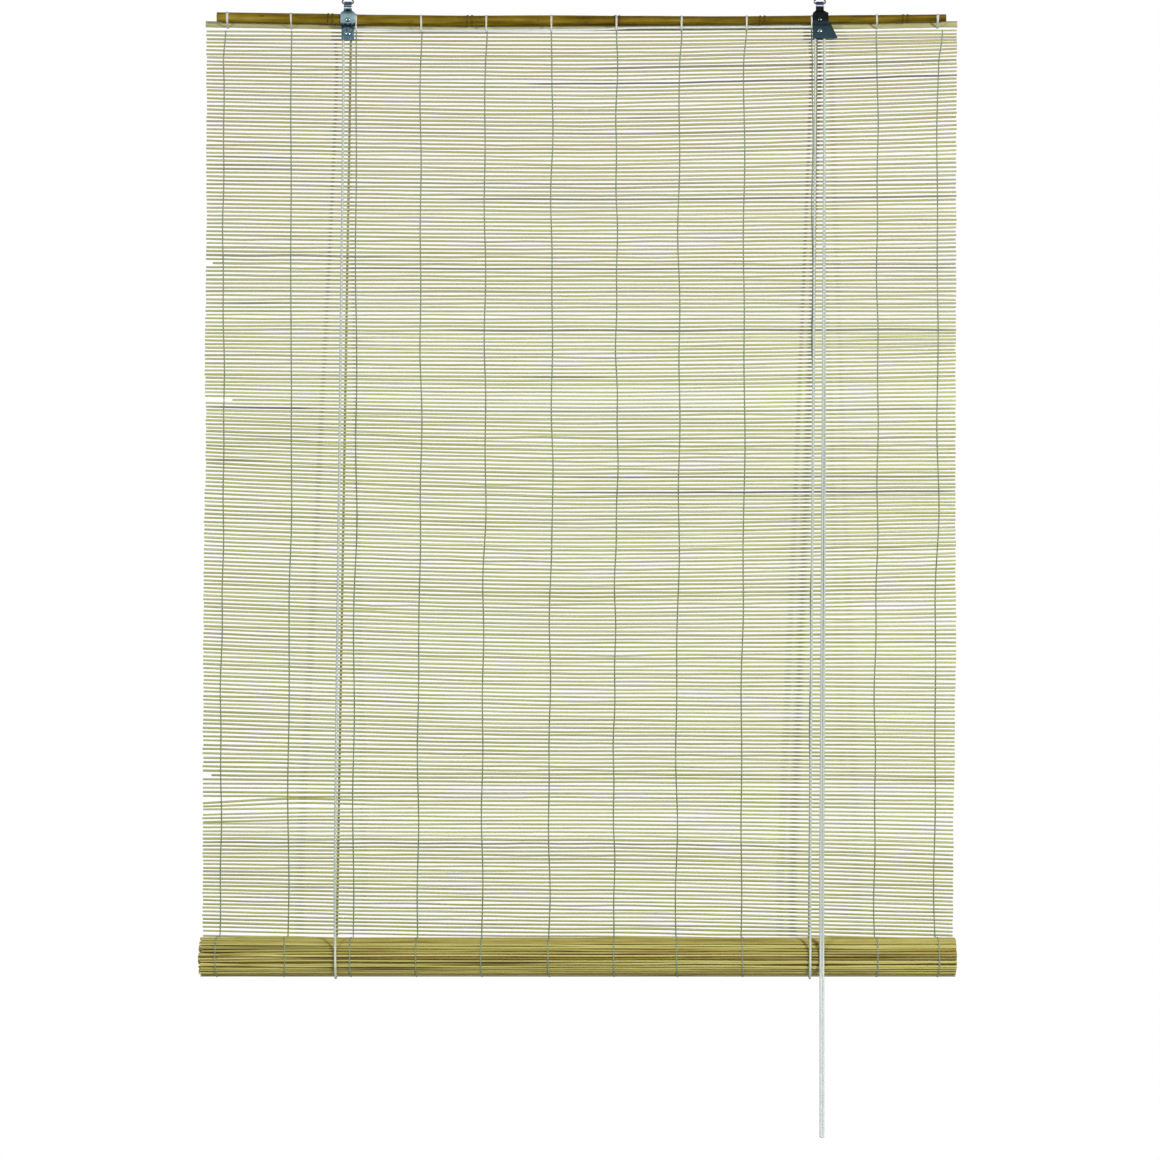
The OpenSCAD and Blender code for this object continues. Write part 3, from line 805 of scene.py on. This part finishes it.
def make_pull_cord(finish, mottled_and_shaded):
    """The two strands that come out of the lock, hang in front of the roll and meet in a bight."""
    top = right_hub.z - LEAVE_DROP
    for i, side in enumerate(("left", "right")):
        route = drop_route(below_hub(right_hub, PULLEY_R, (2 * i - 1) * GROOVE_Y),
                           Vector((STRAND_X[i], FRONT_Y, roll_axis.z)), STRAND_MID[i])
        # The strands above the roll carry the front cords' painted shade.
        upper = cord_piece(f"pull_cord_{side}_strand", mottled_and_shaded, "head", route, "pull_cord_upper")
        gather_up(upper, top, roll_axis.z)
        length = sum((b - a).length for a, b in zip(route, route[1:]))
        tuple(route[0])
        hang = smooth_route([(STRAND_X[i], FRONT_Y, z) for z in (roll_axis.z, PULL_END)], TAIL_STEPS)
        tail = make_tail(f"pull_cord_{side}_tail", finish, hang)
        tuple(hang[0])
    middle = Vector(((STRAND_X[0] + STRAND_X[1]) / 2, FRONT_Y, PULL_END))
    bight = arc(middle, RIGHT, (STRAND_X[1] - STRAND_X[0]) / 2, 180, 360, BEND_STEPS)
    cord_piece("pull_cord_bight", finish, "pull_end", bight, "pull_loop")


def make_tail(name, finish, route):
    """A strand below the roll. The real one lengthens as the cord is drawn through the lock; this piece keeps
    its length.
    """
    piece = add_shape(name, cord_shape(route), finish)
    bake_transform(piece)
    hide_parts("pull_cord_tail")
    return piece


def round_hub(hub, y, start, end, steps):
    """Points of a cord over a pulley, from one angle to another in degrees."""
    return arc(Vector((hub.x, y, hub.z)), RIGHT, PULLEY_R, start, end, steps)


def below_hub(hub, side, y):
    """Where a cord that leaves one side of a pulley is clear of it."""
    return Vector((hub.x + side, y, hub.z - LEAVE_DROP))


def make_lift_cords(finish, front_shaded, rear_shaded):
    """The cords over the pulleys, down the front, under the roll and up the back."""
    run = [Vector((x * MM, -GROOVE_Y * along_cross(x * MM), cross_level(x * MM))) for x, _ in CROSS_SAG[1:-1]]
    front_tops = (below_hub(left_hub, -PULLEY_R, 0), below_hub(right_hub, -PULLEY_R, GROOVE_Y))
    pull_tops = [below_hub(right_hub, PULLEY_R, y) for y in (-GROOVE_Y, GROOVE_Y)]
    cross = [front_tops[0]] + round_hub(left_hub, 0, 180, 90, HUB_STEPS) + smooth_route(run, CROSS_STEPS)
    cross += round_hub(right_hub, -GROOVE_Y, 90, 0, HUB_STEPS) + [pull_tops[0]]
    cord_piece("cross_cord_run", finish, "head", cross, "cross_cord")
    over = [front_tops[1]] + round_hub(right_hub, GROOVE_Y, 180, 0, LOCK_STEPS) + [pull_tops[1]]
    cord_piece("lock_cord_turn", finish, "head", over, "lock_cord")
    sling_r = roll_axis.y - FRONT_Y
    rear_r = REAR_Y - roll_axis.y
    rear_z = roll_axis.z - sling_r + rear_r
    for i, side in enumerate(("left", "right")):
        x = SLING_X[i]
        foot = Vector((x, FRONT_Y, roll_axis.z))
        front = drop_route(front_tops[i], foot, (front_tops[i] + foot) / 2)
        # Front cords carry a painted shade over the mat, and rear cords a deeper painted shade behind it.
        piece = cord_piece(f"{side}_front_cord_run", front_shaded, "head", front, f"{side}_front_cord")
        gather_up(piece, front_tops[i].z, roll_axis.z)
        rear = smooth_route([(TIE_X[i], REAR_Y, TIE_FOOT), (x, REAR_Y, rear_z)], REAR_STEPS)
        piece = cord_piece(f"{side}_rear_cord_run", rear_shaded, "head", rear, f"{side}_rear_cord")
        gather_up(piece, TIE_FOOT, rear_z)
        under = arc(Vector((x, roll_axis.y, roll_axis.z)), BACK, sling_r, 180, 270, BEND_STEPS)
        behind = arc(Vector((x, roll_axis.y, rear_z)), BACK, rear_r, 270, 360, BEND_STEPS)
        cord_piece(f"{side}_sling_run", finish, "roll_slings", under[:-1] + behind, f"{side}_sling")
        make_tie(f"{side}_tie_knot", finish, TIE_X[i], f"{side}_cord_tie")


def along_cross(x):
    """How far x is along the cross cord, from the left pulley to the right one."""
    return (x - left_hub.x) / (right_hub.x - left_hub.x)


def cross_level(x):
    """Height of the cross cord, which sags where no loop holds it up to the pole."""
    plain = left_hub.z + PULLEY_R + (right_hub.z - left_hub.z) * along_cross(x)
    return plain - between(CROSS_SAG, x / MM) * MM


def make_tie(name, finish, x, node):
    """The end of a rear cord, hitched twice round the batten and knotted behind it."""
    low, high = corners(node)
    raised = batten_lift(x)
    shape = Shape()
    for shift in (-HITCH_SHIFT, HITCH_SHIFT):
        hitch = rounded_loop(x + shift, low.y + TIE_R, high.y - TIE_R - HITCH_BACK,
                             low.z + TIE_R + raised, high.z - TIE_R + raised, HITCH_BEND)
        shape.tube(hitch, round_section(TIE_R, TIE_SIDES), closed=True)
    knot = Vector((x, high.y - COIL_BACK, low.z + COIL_UP + raised))
    coil = [knot + Vector((COIL_WIDE * math.cos(a), COIL_DEEP * math.sin(a / 2), COIL_HIGH * math.sin(a)))
            for a in spread(0, 2 * TURN, COIL_STEPS)]
    shape.tube(coil, round_section(COIL_R, TIE_SIDES))
    make_piece(name, shape, finish, "head", "cord", node)


def rounded_loop(x, y0, y1, z0, z1, bend):
    """A closed loop in the YZ plane, a rectangle with round corners."""
    loop = []
    for y, z, start in ((y1 - bend, z1 - bend, 0), (y0 + bend, z1 - bend, 90),
                        (y0 + bend, z0 + bend, 180), (y1 - bend, z0 + bend, 270)):
        loop += arc(Vector((x, y, z)), BACK, bend, start, start + 90, CORNER_STEPS)
    return loop


def rise(x, depth):
    """How far the mat stands above its middle at x, and at a depth in millimetres."""
    ends = LEFT_RISE if x < 0 else RIGHT_RISE
    return between(ends, depth) * MM * (abs(x) / half_mat) ** RISE_CURVE


def hang_y(depth):
    """Where the mat hangs, front to back, at a depth in millimetres."""
    return mat_y - between(LEAN, depth) * MM


class Stick:
    """One split stick of the mat: where it runs, how thick it is and how it looks."""

    def __init__(self, index):
        self.z = first_z - index * pitch
        self.depth = -self.z / MM
        self.left = mat_low.x + (between(LEFT_END, self.depth) + stray(LEFT_UNEVEN)) * MM
        self.right = mat_high.x + (between(RIGHT_END, self.depth) + stray(RIGHT_UNEVEN)) * MM
        self.radius = dice.uniform(THIN_STICK, THICK_STICK)
        self.y = hang_y(self.depth) + stray(LIE_UNEVEN) * MM
        self.tone = min(dice.gauss(0.5, TONE_SPREAD), TONE_LIMIT)
        self.waves = draw_waves(3, *STICK_WAVES)
        self.bows = []
        if dice.random() < BOWED:
            self.bows.append((stray(BOW_OFF), dice.uniform(*BOW_WIDTHS) * MM, stray(BOW_HEIGHT) * MM))
        self.droop = 0.0
        self.stains = []
        self.corners = [(TURN * (k + stray(CORNER_UNEVEN)) / STICK_SIDES, dice.uniform(*CORNER_SIZES))
                        for k in range(STICK_SIDES)]
        self.twist = stray(STICK_TWIST)

    def level(self, x):
        """Height of the stick at x."""
        z = self.z + rise(x, self.depth) + ripple(self.waves, x)
        for place, reach, height in self.bows:
            z += height * bell(x - place, reach)
        if self.droop and x < DROOP_FROM:
            z -= self.droop * ((DROOP_FROM - x) / (half_mat + DROOP_FROM)) ** DROOP_CURVE
        return z

    def stain(self, x):
        """How dark the stick is at x."""
        dark = 0.0
        for start, end, depth in self.stains:
            inside = min(max((x - start) / STAIN_SOFT, 0), 1) * min(max((end - x) / STAIN_SOFT, 0), 1)
            dark = max(dark, depth * inside)
        return dark

    def section(self, i):
        """The split section at point i, a little smaller at the ends."""
        turn = self.twist * i
        size = self.radius * (END_TAPER if i in (0, STICK_STEPS) else 1.0)
        return [(size * r * math.cos(a + turn), size * r * math.sin(a + turn)) for a, r in self.corners]

    def add_to(self, shape):
        path = [Vector((x, self.y, self.level(x))) for x in spread(self.left, self.right, STICK_STEPS)]
        shape.tube(path, self.section, (BACK, UP), tone=self.tone, stain=self.stain)


def nearest_stick(sticks, depth):
    return min(sticks, key=lambda stick: abs(stick.depth - depth))


def make_mat(finish):
    """The hanging mat, each stick split, bent and toned on its own."""
    sticks = [Stick(index) for index in range(STICKS)]
    for depth, start, end, dark in STAINED:
        nearest_stick(sticks, depth).stains.append((start * MM, end * MM, dark))
    for depth, missing in BROKEN:
        nearest_stick(sticks, depth).left += missing * MM
    for step, (droop, bow) in enumerate(DROOPED):
        stick = nearest_stick(sticks, DROOP_DEPTH + step * pitch / MM)
        stick.droop = droop * MM
        stick.bows = [(BOW_AT, BOW_REACH, bow * MM)]
    shape = Shape()
    for stick in sticks:
        stick.add_to(shape)
    mat = make_piece("mat_sticks", shape, finish, "head", "stick_wood", "slat_mat")
    gather_up(mat, mat_high.z, mat_low.z)
    return sticks


def make_joining(last, finish):
    """The mat's next sticks below its last, which lie on the back of the roll and don't turn with it."""
    lie = roll_r + JOIN_GAP + ROLLED_STICK
    shape = Shape()
    for j in range(1, JOINING + 1):
        path = []
        for x in spread(last.left, last.right, STICK_STEPS):
            z = last.level(x) - j * pitch
            path.append(Vector((x, roll_axis.y + math.sqrt(lie ** 2 - (z - roll_axis.z) ** 2), z)))
        shape.tube(path, round_section(ROLLED_STICK, STICK_SIDES), (BACK, UP))
    make_piece("joining_sticks", shape, finish, "roll_slings", "stick_wood")


def thread_x(i):
    """Where thread i ties the mat, at the top."""
    first = thread_low.x + THREAD_ROOM / 2
    last = thread_high.x - THREAD_ROOM / 2
    return first + (last - first) * i / (THREADS - 1)


def slipped_x(i, depth):
    """Where thread i runs at a depth in millimetres."""
    top = -thread_high.z / MM
    settled = between([(top, 0), (top + SLIP_DEPTH, 1)], depth)
    return thread_x(i) + (THREAD_SLIP[i] * settled + between(THREAD_DRIFT, depth)) * MM


def make_threads(sticks, finish):
    """Twelve pairs of strands, twined so that they cross between one stick and the next."""
    reach = stick_room / 2 + THREAD_R
    for i in range(THREADS):
        shape = Shape()
        sway = draw_waves(2, *THREAD_WAVES)
        levels = [stick.level(thread_x(i)) for stick in sticks]
        levels = [thread_high.z] + levels + [levels[-1] - pitch / 2]
        for side in (-1, 1):
            path = []
            for step in range(STICK_PARTS * (len(levels) - 1) + 1):
                k, part = divmod(step, STICK_PARTS)
                z = levels[k]
                if part:
                    z += (levels[k + 1] - z) * part / STICK_PARTS
                turn = math.pi * step / STICK_PARTS
                x = slipped_x(i, -z / MM) + ripple(sway, z) + side * THREAD_SWAY * math.sin(turn)
                path.append(Vector((x, hang_y(-z / MM) - side * reach * math.cos(turn), z)))
            shape.tube(path, round_section(THREAD_R, THREAD_SIDES))
        piece = make_piece(f"warp_thread_{i + 1:02d}", shape, finish, "head", "warp_thread", "warp_threads")
        gather_up(piece, thread_high.z, mat_low.z)


def sag(x):
    return -POLE_DROP - POLE_BOW * (1 - (2 * x / pole_length) ** 2)


def pole_level(x):
    """Height of the cane's axis, as it has grown."""
    return pole_axis(x) + between(POLE_RISE, x / MM) * MM


def pole_axis(x):
    """Height of the pole's axis in the frame: it is straight from node to node."""
    places = [pole_low.x] + node_places + [pole_high.x]
    for a, b in zip(places, places[1:]):
        if x <= b:
            return sag(a) + (sag(b) - sag(a)) * (x - a) / (b - a)
    return sag(places[-1])


def pole_radius(x):
    return between(POLE_D, x / MM) * MM / 2


def node_swell(x):
    """The double ridge of a node, with a groove between."""
    swell = 0.0
    for place in node_places:
        for ridge in (-RIDGE_APART, RIDGE_APART):
            swell += NODE_RIDGE * bell(x - place - ridge, RIDGE_REACH)
        swell -= GROOVE_DEPTH * bell(x - place, GROOVE_REACH)
    return swell


def node_ring(x):
    """How dark the cane is near its nodes."""
    dark = 0.0
    for place in node_places:
        for ring in RING_PLACES:
            dark += RING_DARK * bell(x - place - ring, RING_REACH)
        dark += NODE_STAIN * bell(x - place, NODE_STAIN_REACH)
    return min(dark, 1.0)


def make_pole(finish):
    """The cane, with its nodes and its hollow ends."""
    plain = [pole_low.x + k * POLE_STEP for k in range(1, int(pole_length / POLE_STEP))]
    near = [place + k * NODE_STEP for place in node_places for k in range(-NODE_STEPS, NODE_STEPS + 1)]
    outer = [(x, pole_radius(x) + node_swell(x)) for x in sorted(plain + near)]
    rims = []
    for end, inward in ((pole_low.x, 1), (pole_high.x, -1)):
        radius = pole_radius(end)
        rims.append([(end + inward * HOLLOW_L, POLE_HOLLOW * radius), (end, POLE_HOLLOW * radius),
                     (end, radius - RIM_EASE), (end + inward * RIM_EASE, radius)])
    rings = rims[0] + outer + rims[1][::-1]
    path = [Vector((x, 0, pole_level(x))) for x, _ in rings]
    lumps = [dice.uniform(*POLE_LUMPS) for _ in range(POLE_SIDES)]

    def section(i):
        return [(a * lump, b * lump) for (a, b), lump in zip(circle(rings[i][1], POLE_SIDES), lumps)]

    shape = Shape()
    shape.tube(path, section, (BACK, UP), stain=node_ring)
    make_piece("cane_pole", shape, finish, "head", "bamboo_pole", "pole")


def batten_lift(x):
    """The batten sags between its ends, which spring up a little."""
    return BATTEN_SPRING * (x / half_mat) ** 2 - BATTEN_SAG


def make_batten(finish):
    """The strip under the pole, with uneven split edges."""
    half_y = (batten_high.y - batten_low.y) / 2
    half_z = (batten_high.z - batten_low.z) / 2
    mid_z = (batten_high.z + batten_low.z) / 2
    xs = spread(batten_low.x, batten_high.x, BATTEN_STEPS)
    path = [Vector((x, mat_y, mid_z + batten_lift(x))) for x in xs]
    edges = [(dice.uniform(*TOP_EDGES), dice.uniform(*FOOT_EDGES)) for _ in xs]
    ease = BATTEN_EASE

    def section(i):
        high, low = edges[i][0] * half_z, edges[i][1] * half_z
        return [(half_y, -low + ease), (half_y, high - ease), (half_y - ease, high), (ease - half_y, high),
                (-half_y, high - ease), (-half_y, ease - low), (ease - half_y, -low), (half_y - ease, -low)]

    shape = Shape()
    shape.tube(path, section, (BACK, UP))
    make_piece("batten_strip", shape, finish, "head", "batten_wood", "batten")


def hull(points):
    """Convex outline of points in a plane, in order."""
    points = sorted(set(points))

    def half(row):
        chain = []
        for p in row:
            while len(chain) > 1 and turns_in(chain[-2], chain[-1], p):
                chain.pop()
            chain.append(p)
        return chain[:-1]

    return half(points) + half(points[::-1])


def turns_in(a, b, c):
    return (b[0] - a[0]) * (c[1] - a[1]) - (b[1] - a[1]) * (c[0] - a[0]) <= 0


def make_loops(finish):
    """Loops of white thread that tie the batten and the cross cord to the pole."""
    shape = Shape()
    for i in range(THREADS):
        x = thread_x(i) + LOOP_SLIP.get(i, 0)
        inside = circle(pole_radius(x) + LOOP_R, steps=40, z=pole_level(x))
        raised = batten_lift(x)
        for y in (batten_low.y - LOOP_R, batten_high.y + LOOP_R):
            inside += [(y, batten_low.z - LOOP_R + raised), (y, batten_high.z + LOOP_R + raised)]
        if left_hub.x < x < right_hub.x:
            inside += circle(CORD_D / 2 + LOOP_R, steps=20, y=-GROOVE_Y * along_cross(x), z=cross_level(x))
        outline = hull(inside)
        turns = END_LOOP_TURNS if i in (0, THREADS - 1) else LOOP_TURNS
        for k in range(turns):
            at = x + (k - (turns - 1) / 2) * LOOP_SPACING
            lean = stray(LOOP_LEAN)
            path = [Vector((at + lean * math.sin(TURN * j / len(outline)), y, z))
                    for j, (y, z) in enumerate(outline)]
            shape.tube(path, round_section(LOOP_R, LOOP_SIDES), closed=True)
    make_piece("pole_ties", shape, finish, "head", "loop_thread", "thread_loops")


def on_roll(x, radius, angle):
    """A point about the roll's axis. The angle starts at the back and goes down, and under to the front."""
    return Vector((x, roll_axis.y + radius * math.cos(angle), roll_axis.z - radius * math.sin(angle)))


def make_roll(finish):
    """The rolled-up part: sticks laid in a spiral, which slips inward from top to back once a turn."""
    radius = roll_r - ROLLED_STICK
    angle = 0.0
    shape = Shape()
    while radius > ROLL_CORE:
        hidden = 0.5 + 0.5 * math.cos(angle)
        start = roll_low.x + (DRAWN_IN_LEFT * hidden + dice.uniform(*ROLL_LEFT_UNEVEN)) * MM
        end = roll_high.x - (DRAWN_IN_RIGHT * hidden + dice.uniform(*ROLL_RIGHT_UNEVEN)) * MM
        size = ROLLED_STICK * dice.uniform(*ROLL_SIZES)
        skew = dice.gauss(0, ROLL_SKEW) * MM / radius
        fan = dice.gauss(0, ROLL_FAN_SPREAD) * MM / radius
        waves = draw_waves(2, *ROLL_WAVES)
        path = []
        for x in spread(start, end, ROLL_STEPS):
            fanned = fan * max(ROLL_FAN - x, 0) / (half_mat + ROLL_FAN)
            path.append(on_roll(x, radius, angle + skew * x / half_mat + ripple(waves, x) / radius + fanned))
        streaks = draw_streaks()
        shape.tube(path, round_section(size, STICK_SIDES), (BACK, UP),
                   tone=dice.gauss(0.5, ROLL_TONE_SPREAD), stain=lambda x: streak_at(streaks, x))
        angle += ROLL_SPACING / radius
        if angle % TURN > ROLL_SLIPS_FROM * TURN:
            radius -= ROLL_LAYER * ROLL_SPACING / radius / ((1 - ROLL_SLIPS_FROM) * TURN)
    make_piece("rolled_mat", shape, finish, "roll", "rolled_sticks", "mat_roll")


def draw_streaks():
    """Brown streaks of a rolled stick, each a place, a reach and how dark it is."""
    return [(dice.uniform(*STREAK_PLACES), dice.uniform(*STREAK_REACHES) * MM, dice.uniform(*STREAK_DARKS))
            for _ in range(dice.choice(STREAK_COUNTS))]


def streak_at(streaks, x):
    """How brown a rolled stick is at x."""
    return max([dark * bell(x - place, reach) for place, reach, dark in streaks], default=0.0)


def make_roll_threads(finish):
    """The warp threads where they lie over the roll's outer turn."""
    crossings = 2 * round(TURN * roll_r / ROLL_SPACING / 2)
    for i in range(THREADS):
        x = slipped_x(i, -roll_high.z / MM) + (ROLL_SLIP[i] + dice.uniform(*ROLL_THREAD_UNEVEN)) * MM
        lean = stray(ROLL_THREAD_LEAN) * MM
        shape = Shape()
        for side in (-1, 1):
            path = []
            for step in range(STICK_PARTS * crossings):
                angle = TURN * step / (STICK_PARTS * crossings)
                turn = math.pi * step / STICK_PARTS
                lie = roll_r + ROLL_THREAD_LIFT + (side * math.cos(turn) - 1) * ROLL_DIP
                shift = side * THREAD_SWAY * math.sin(turn) + lean * math.cos(angle)
                path.append(on_roll(x + shift, lie, angle))
            shape.tube(path, round_section(THREAD_R, ROLL_THREAD_SIDES), closed=True)
        make_piece(f"roll_thread_{i + 1:02d}", shape, finish, "roll", "warp_thread", "roll_threads")


def make_bracket(name, node, finish):
    """A folded steel bracket of the frame with its cut edges eased."""
    work = bmesh.new()
    work.from_mesh(frame["nodes"][node].data)
    bmesh.ops.remove_doubles(work, verts=work.verts, dist=WELD)
    bmesh.ops.dissolve_limit(work, angle_limit=FLAT_ANGLE, verts=work.verts, edges=work.edges)
    sharp = [edge for edge in work.edges
             if len(edge.link_faces) == 2 and edge.calc_face_angle() > SHARP_ANGLE]
    bmesh.ops.bevel(work, geom=sharp, offset=EDGE_EASE, segments=2, profile=0.5, affect="EDGES",
                    clamp_overlap=True)
    mesh = bpy.data.meshes.new(name)
    work.to_mesh(mesh)
    work.free()
    piece = add_object(name, mesh, finish)
    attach(piece, "head")
    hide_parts(node)


def make_rivets(finish):
    """The rivets through the pole, and the two that the pulleys turn on."""
    shape = Shape()
    # The right bracket's pole rivet gets a painted dark reflection, as its bracket has.
    for hub, bracket, dark in ((left_hub, "left_bracket", 0.0), (right_hub, "right_bracket", 0.8)):
        add_rivet(shape, hub.x, pole_axis(hub.x), corners(bracket)[1].y, dark)
    make_piece("pole_rivet_pair", shape, finish, "head", "rivet_steel", "pole_rivets")
    for side, hub in (("left", left_hub), ("right", right_hub)):
        shape = Shape()
        add_rivet(shape, hub.x, hub.z, corners(f"{side}_axle")[1].y - AXLE_HEAD_H)
        make_piece(f"{side}_pulley_pin", shape, finish, "head", "rivet_steel", f"{side}_axle")


def add_rivet(shape, x, z, seat, dark=0.0):
    """A rivet along Y, with low domes that stand on the sheet at y = seat, in front and behind."""
    ball = (HEAD_R ** 2 + HEAD_H ** 2) / (2 * HEAD_H)
    tilts = spread(0, math.asin(HEAD_R / ball), HEAD_STEPS)
    dome = [(seat + HEAD_H - ball * (1 - math.cos(t)), max(ball * math.sin(t), HEAD_TIP)) for t in tilts]
    profile = [(-y, r) for y, r in dome] + [(-seat, RIVET_R), (seat, RIVET_R)] + dome[::-1]
    rounds = [circle(r, RIVET_SIDES) for _, r in profile]
    path = [Vector((x, y, z)) for y, _ in profile]
    shape.tube(path, lambda i: rounds[i], (UP, RIGHT), stain=lambda x: dark)


def dress(node, finish):
    """A node of the frame that shows as it is, in its own finish."""
    mesh = frame["nodes"][node].data
    mesh.materials.clear()
    mesh.materials.append(finish)


def make_studio():
    """A white room, three soft lamps and a pale floor."""
    scene = bpy.context.scene
    scene.view_settings.view_transform = "Standard"
    scene.world = bpy.data.worlds.new("studio")
    scene.world.use_nodes = True
    light_room(Nodes(scene.world.node_tree))
    for name, place, size, power in LAMPS:
        lamp = bpy.data.lights.new(name, "AREA")
        lamp.energy = power
        lamp.size = size
        holder = bpy.data.objects.new(name, lamp)
        holder.location = place
        holder.rotation_euler = (LAMP_TARGET - Vector(place)).to_track_quat("-Z", "Y").to_euler()
        bpy.context.collection.objects.link(holder)
    make_floor()


def light_room(room):
    """The room is white where it is seen or mirrored, and gives less light than that."""
    camera, glossy, clear = [room.node("ShaderNodeLightPath", out=f"Is {ray} Ray")
                             for ray in ("Camera", "Glossy", "Transmission")]
    seen = camera.math("MAXIMUM", camera.math("MAXIMUM", camera, glossy), clear)
    dim = room.node("ShaderNodeBackground", sockets={"Strength": ROOM_LIGHT})
    white = room.node("ShaderNodeBackground", sockets={"Color": WHITE})
    shown = room.node("ShaderNodeMixShader", sockets={0: seen, 1: dim, 2: white})
    room.node("ShaderNodeOutputWorld", sockets={"Surface": shown})


def make_floor():
    """A pale floor below the pull cord's lowest place, which fades into the room far off."""
    mesh = bpy.data.meshes.new("floor")
    sides = ((-1, -1), (1, -1), (1, 1), (-1, 1))
    mesh.from_pydata([(x * FLOOR_REACH, y * FLOOR_REACH, FLOOR_LEVEL) for x, y in sides], [], [(0, 1, 2, 3)])
    look = Finish("pale_floor")
    colour = look.mix(look.noise((3, 3, 3)), paint(238, 238, 236), paint(245, 245, 244))
    plain = look.node("ShaderNodeBsdfPrincipled", sockets={"Base Color": colour, "Roughness": 0.9})
    glow = look.node("ShaderNodeEmission", sockets={"Color": WHITE})
    seen = look.node("ShaderNodeLightPath", out="Is Camera Ray")
    away = look.node("ShaderNodeVectorMath", {"operation": "LENGTH"}, {0: look.place}, out="Value")
    glowing = seen * (FLOOR_GLOW + (1 - FLOOR_GLOW) * look.fade(away, *FLOOR_FADE))
    mixed = look.node("ShaderNodeMixShader", sockets={0: glowing, 1: plain, 2: glow})
    look.node("ShaderNodeOutputMaterial", sockets={"Surface": mixed})
    floor = add_object("floor", mesh, look.material)


# The camera and the cords
make_camera()
cord_look = cord_finish("braided_cord", WHITE)
# The front and rear cords are the same white cord: the front ones carry a painted shade over the mat, and the
# rear ones a deeper painted shade behind it.
front_cord_shaded_look = cord_finish("front_cord", paint(228, 229, 224))
rear_cord_shaded_look = cord_finish("rear_cord", paint(192, 192, 184))
make_pull_cord(cord_look, front_cord_shaded_look)
make_lift_cords(cord_look, front_cord_shaded_look, rear_cord_shaded_look)

# The mat and the roll
mat_look = stick_finish("mat_stick", [
    (0.1, paint(213, 217, 158)), (0.4, paint(190, 194, 131)), (0.6, paint(174, 176, 111)),
    (0.9, paint(142, 131, 76)),
], paint(98, 94, 84), paint(172, 158, 120))
rolled_look = stick_finish("rolled_stick", [
    (0.1, paint(222, 218, 150)), (0.4, paint(202, 196, 122)), (0.6, paint(184, 175, 96)),
    (0.9, paint(140, 114, 52)),
], paint(92, 74, 36), paint(184, 175, 96))
thread_look = thread_finish("grey_thread", paint(168, 190, 168), paint(112, 134, 112), paint(222, 222, 212))
roll_thread_look = thread_finish("roll_thread", paint(172, 192, 168), paint(118, 138, 114), WHITE)
loop_look = thread_finish("white_thread", paint(236, 236, 228), paint(198, 198, 186), WHITE)
sticks = make_mat(mat_look)
make_joining(sticks[-1], mat_look)
make_threads(sticks, thread_look)
make_roll(rolled_look)
make_roll_threads(roll_thread_look)

# The pole, the batten and their loops
cane_look = cane_finish()
make_pole(cane_look)
make_batten(batten_finish())
make_loops(loop_look)

# The brackets, rivets, rings and wheels
# Both brackets are the same zinc plated steel: the left is painted bright and the right near black as the
# reflections they show, and their bands are painted highlights and shade.
left_sheet_painted_bright = sheet_finish("bright_sheet", [
    (-8, paint(36, 48, 84)), (-13.6, paint(44, 58, 92)), (-14.4, paint(130, 146, 162)),
    (-15.2, paint(16, 24, 38)), (-16.4, paint(24, 36, 50)), (-16.8, paint(190, 204, 210)),
    (-17.8, paint(170, 188, 196)), (-18.2, paint(30, 48, 62)), (-19.8, paint(18, 28, 38)),
    (-21.6, paint(20, 30, 40)), (-22.4, paint(94, 120, 128)), (-30, paint(122, 150, 154)),
    (-36, paint(98, 128, 136)), (-36.6, paint(20, 30, 58)), (-38.8, paint(18, 26, 50)),
    (-39.6, paint(40, 64, 74)), (-48, paint(54, 82, 92)), (-57, paint(70, 98, 106)),
], paint(150, 174, 178))
right_sheet_painted_dark = sheet_finish("dark_sheet", [
    (-8, paint(36, 44, 74)), (-13.4, paint(50, 58, 86)), (-14, paint(186, 196, 212)),
    (-15.4, paint(160, 172, 192)), (-15.8, paint(14, 18, 34)), (-18, paint(6, 8, 14)), (-30, paint(5, 9, 9)),
    (-33, paint(14, 22, 24)), (-34.5, paint(26, 40, 44)), (-45, paint(34, 52, 60)), (-57, paint(40, 58, 70)),
], paint(24, 34, 40))
make_bracket("left_folded_bracket", "left_bracket", left_sheet_painted_bright)
make_bracket("right_lock_bracket", "right_bracket", right_sheet_painted_dark)
make_rivets(wire_finish("rivet", paint(84, 104, 114), paint(128, 150, 158)))
ring_look = wire_finish("ring_wire", paint(44, 50, 66), paint(96, 106, 118))
wheel_look = wire_finish("turned_steel", paint(120, 122, 124), paint(160, 162, 164))
for node in ("left_ring", "right_ring"):
    dress(node, ring_look)
for node in ("left_pulley", "right_pulley", "lock_roller"):
    dress(node, wheel_look)
dress("core_rod", cane_look)
make_studio()
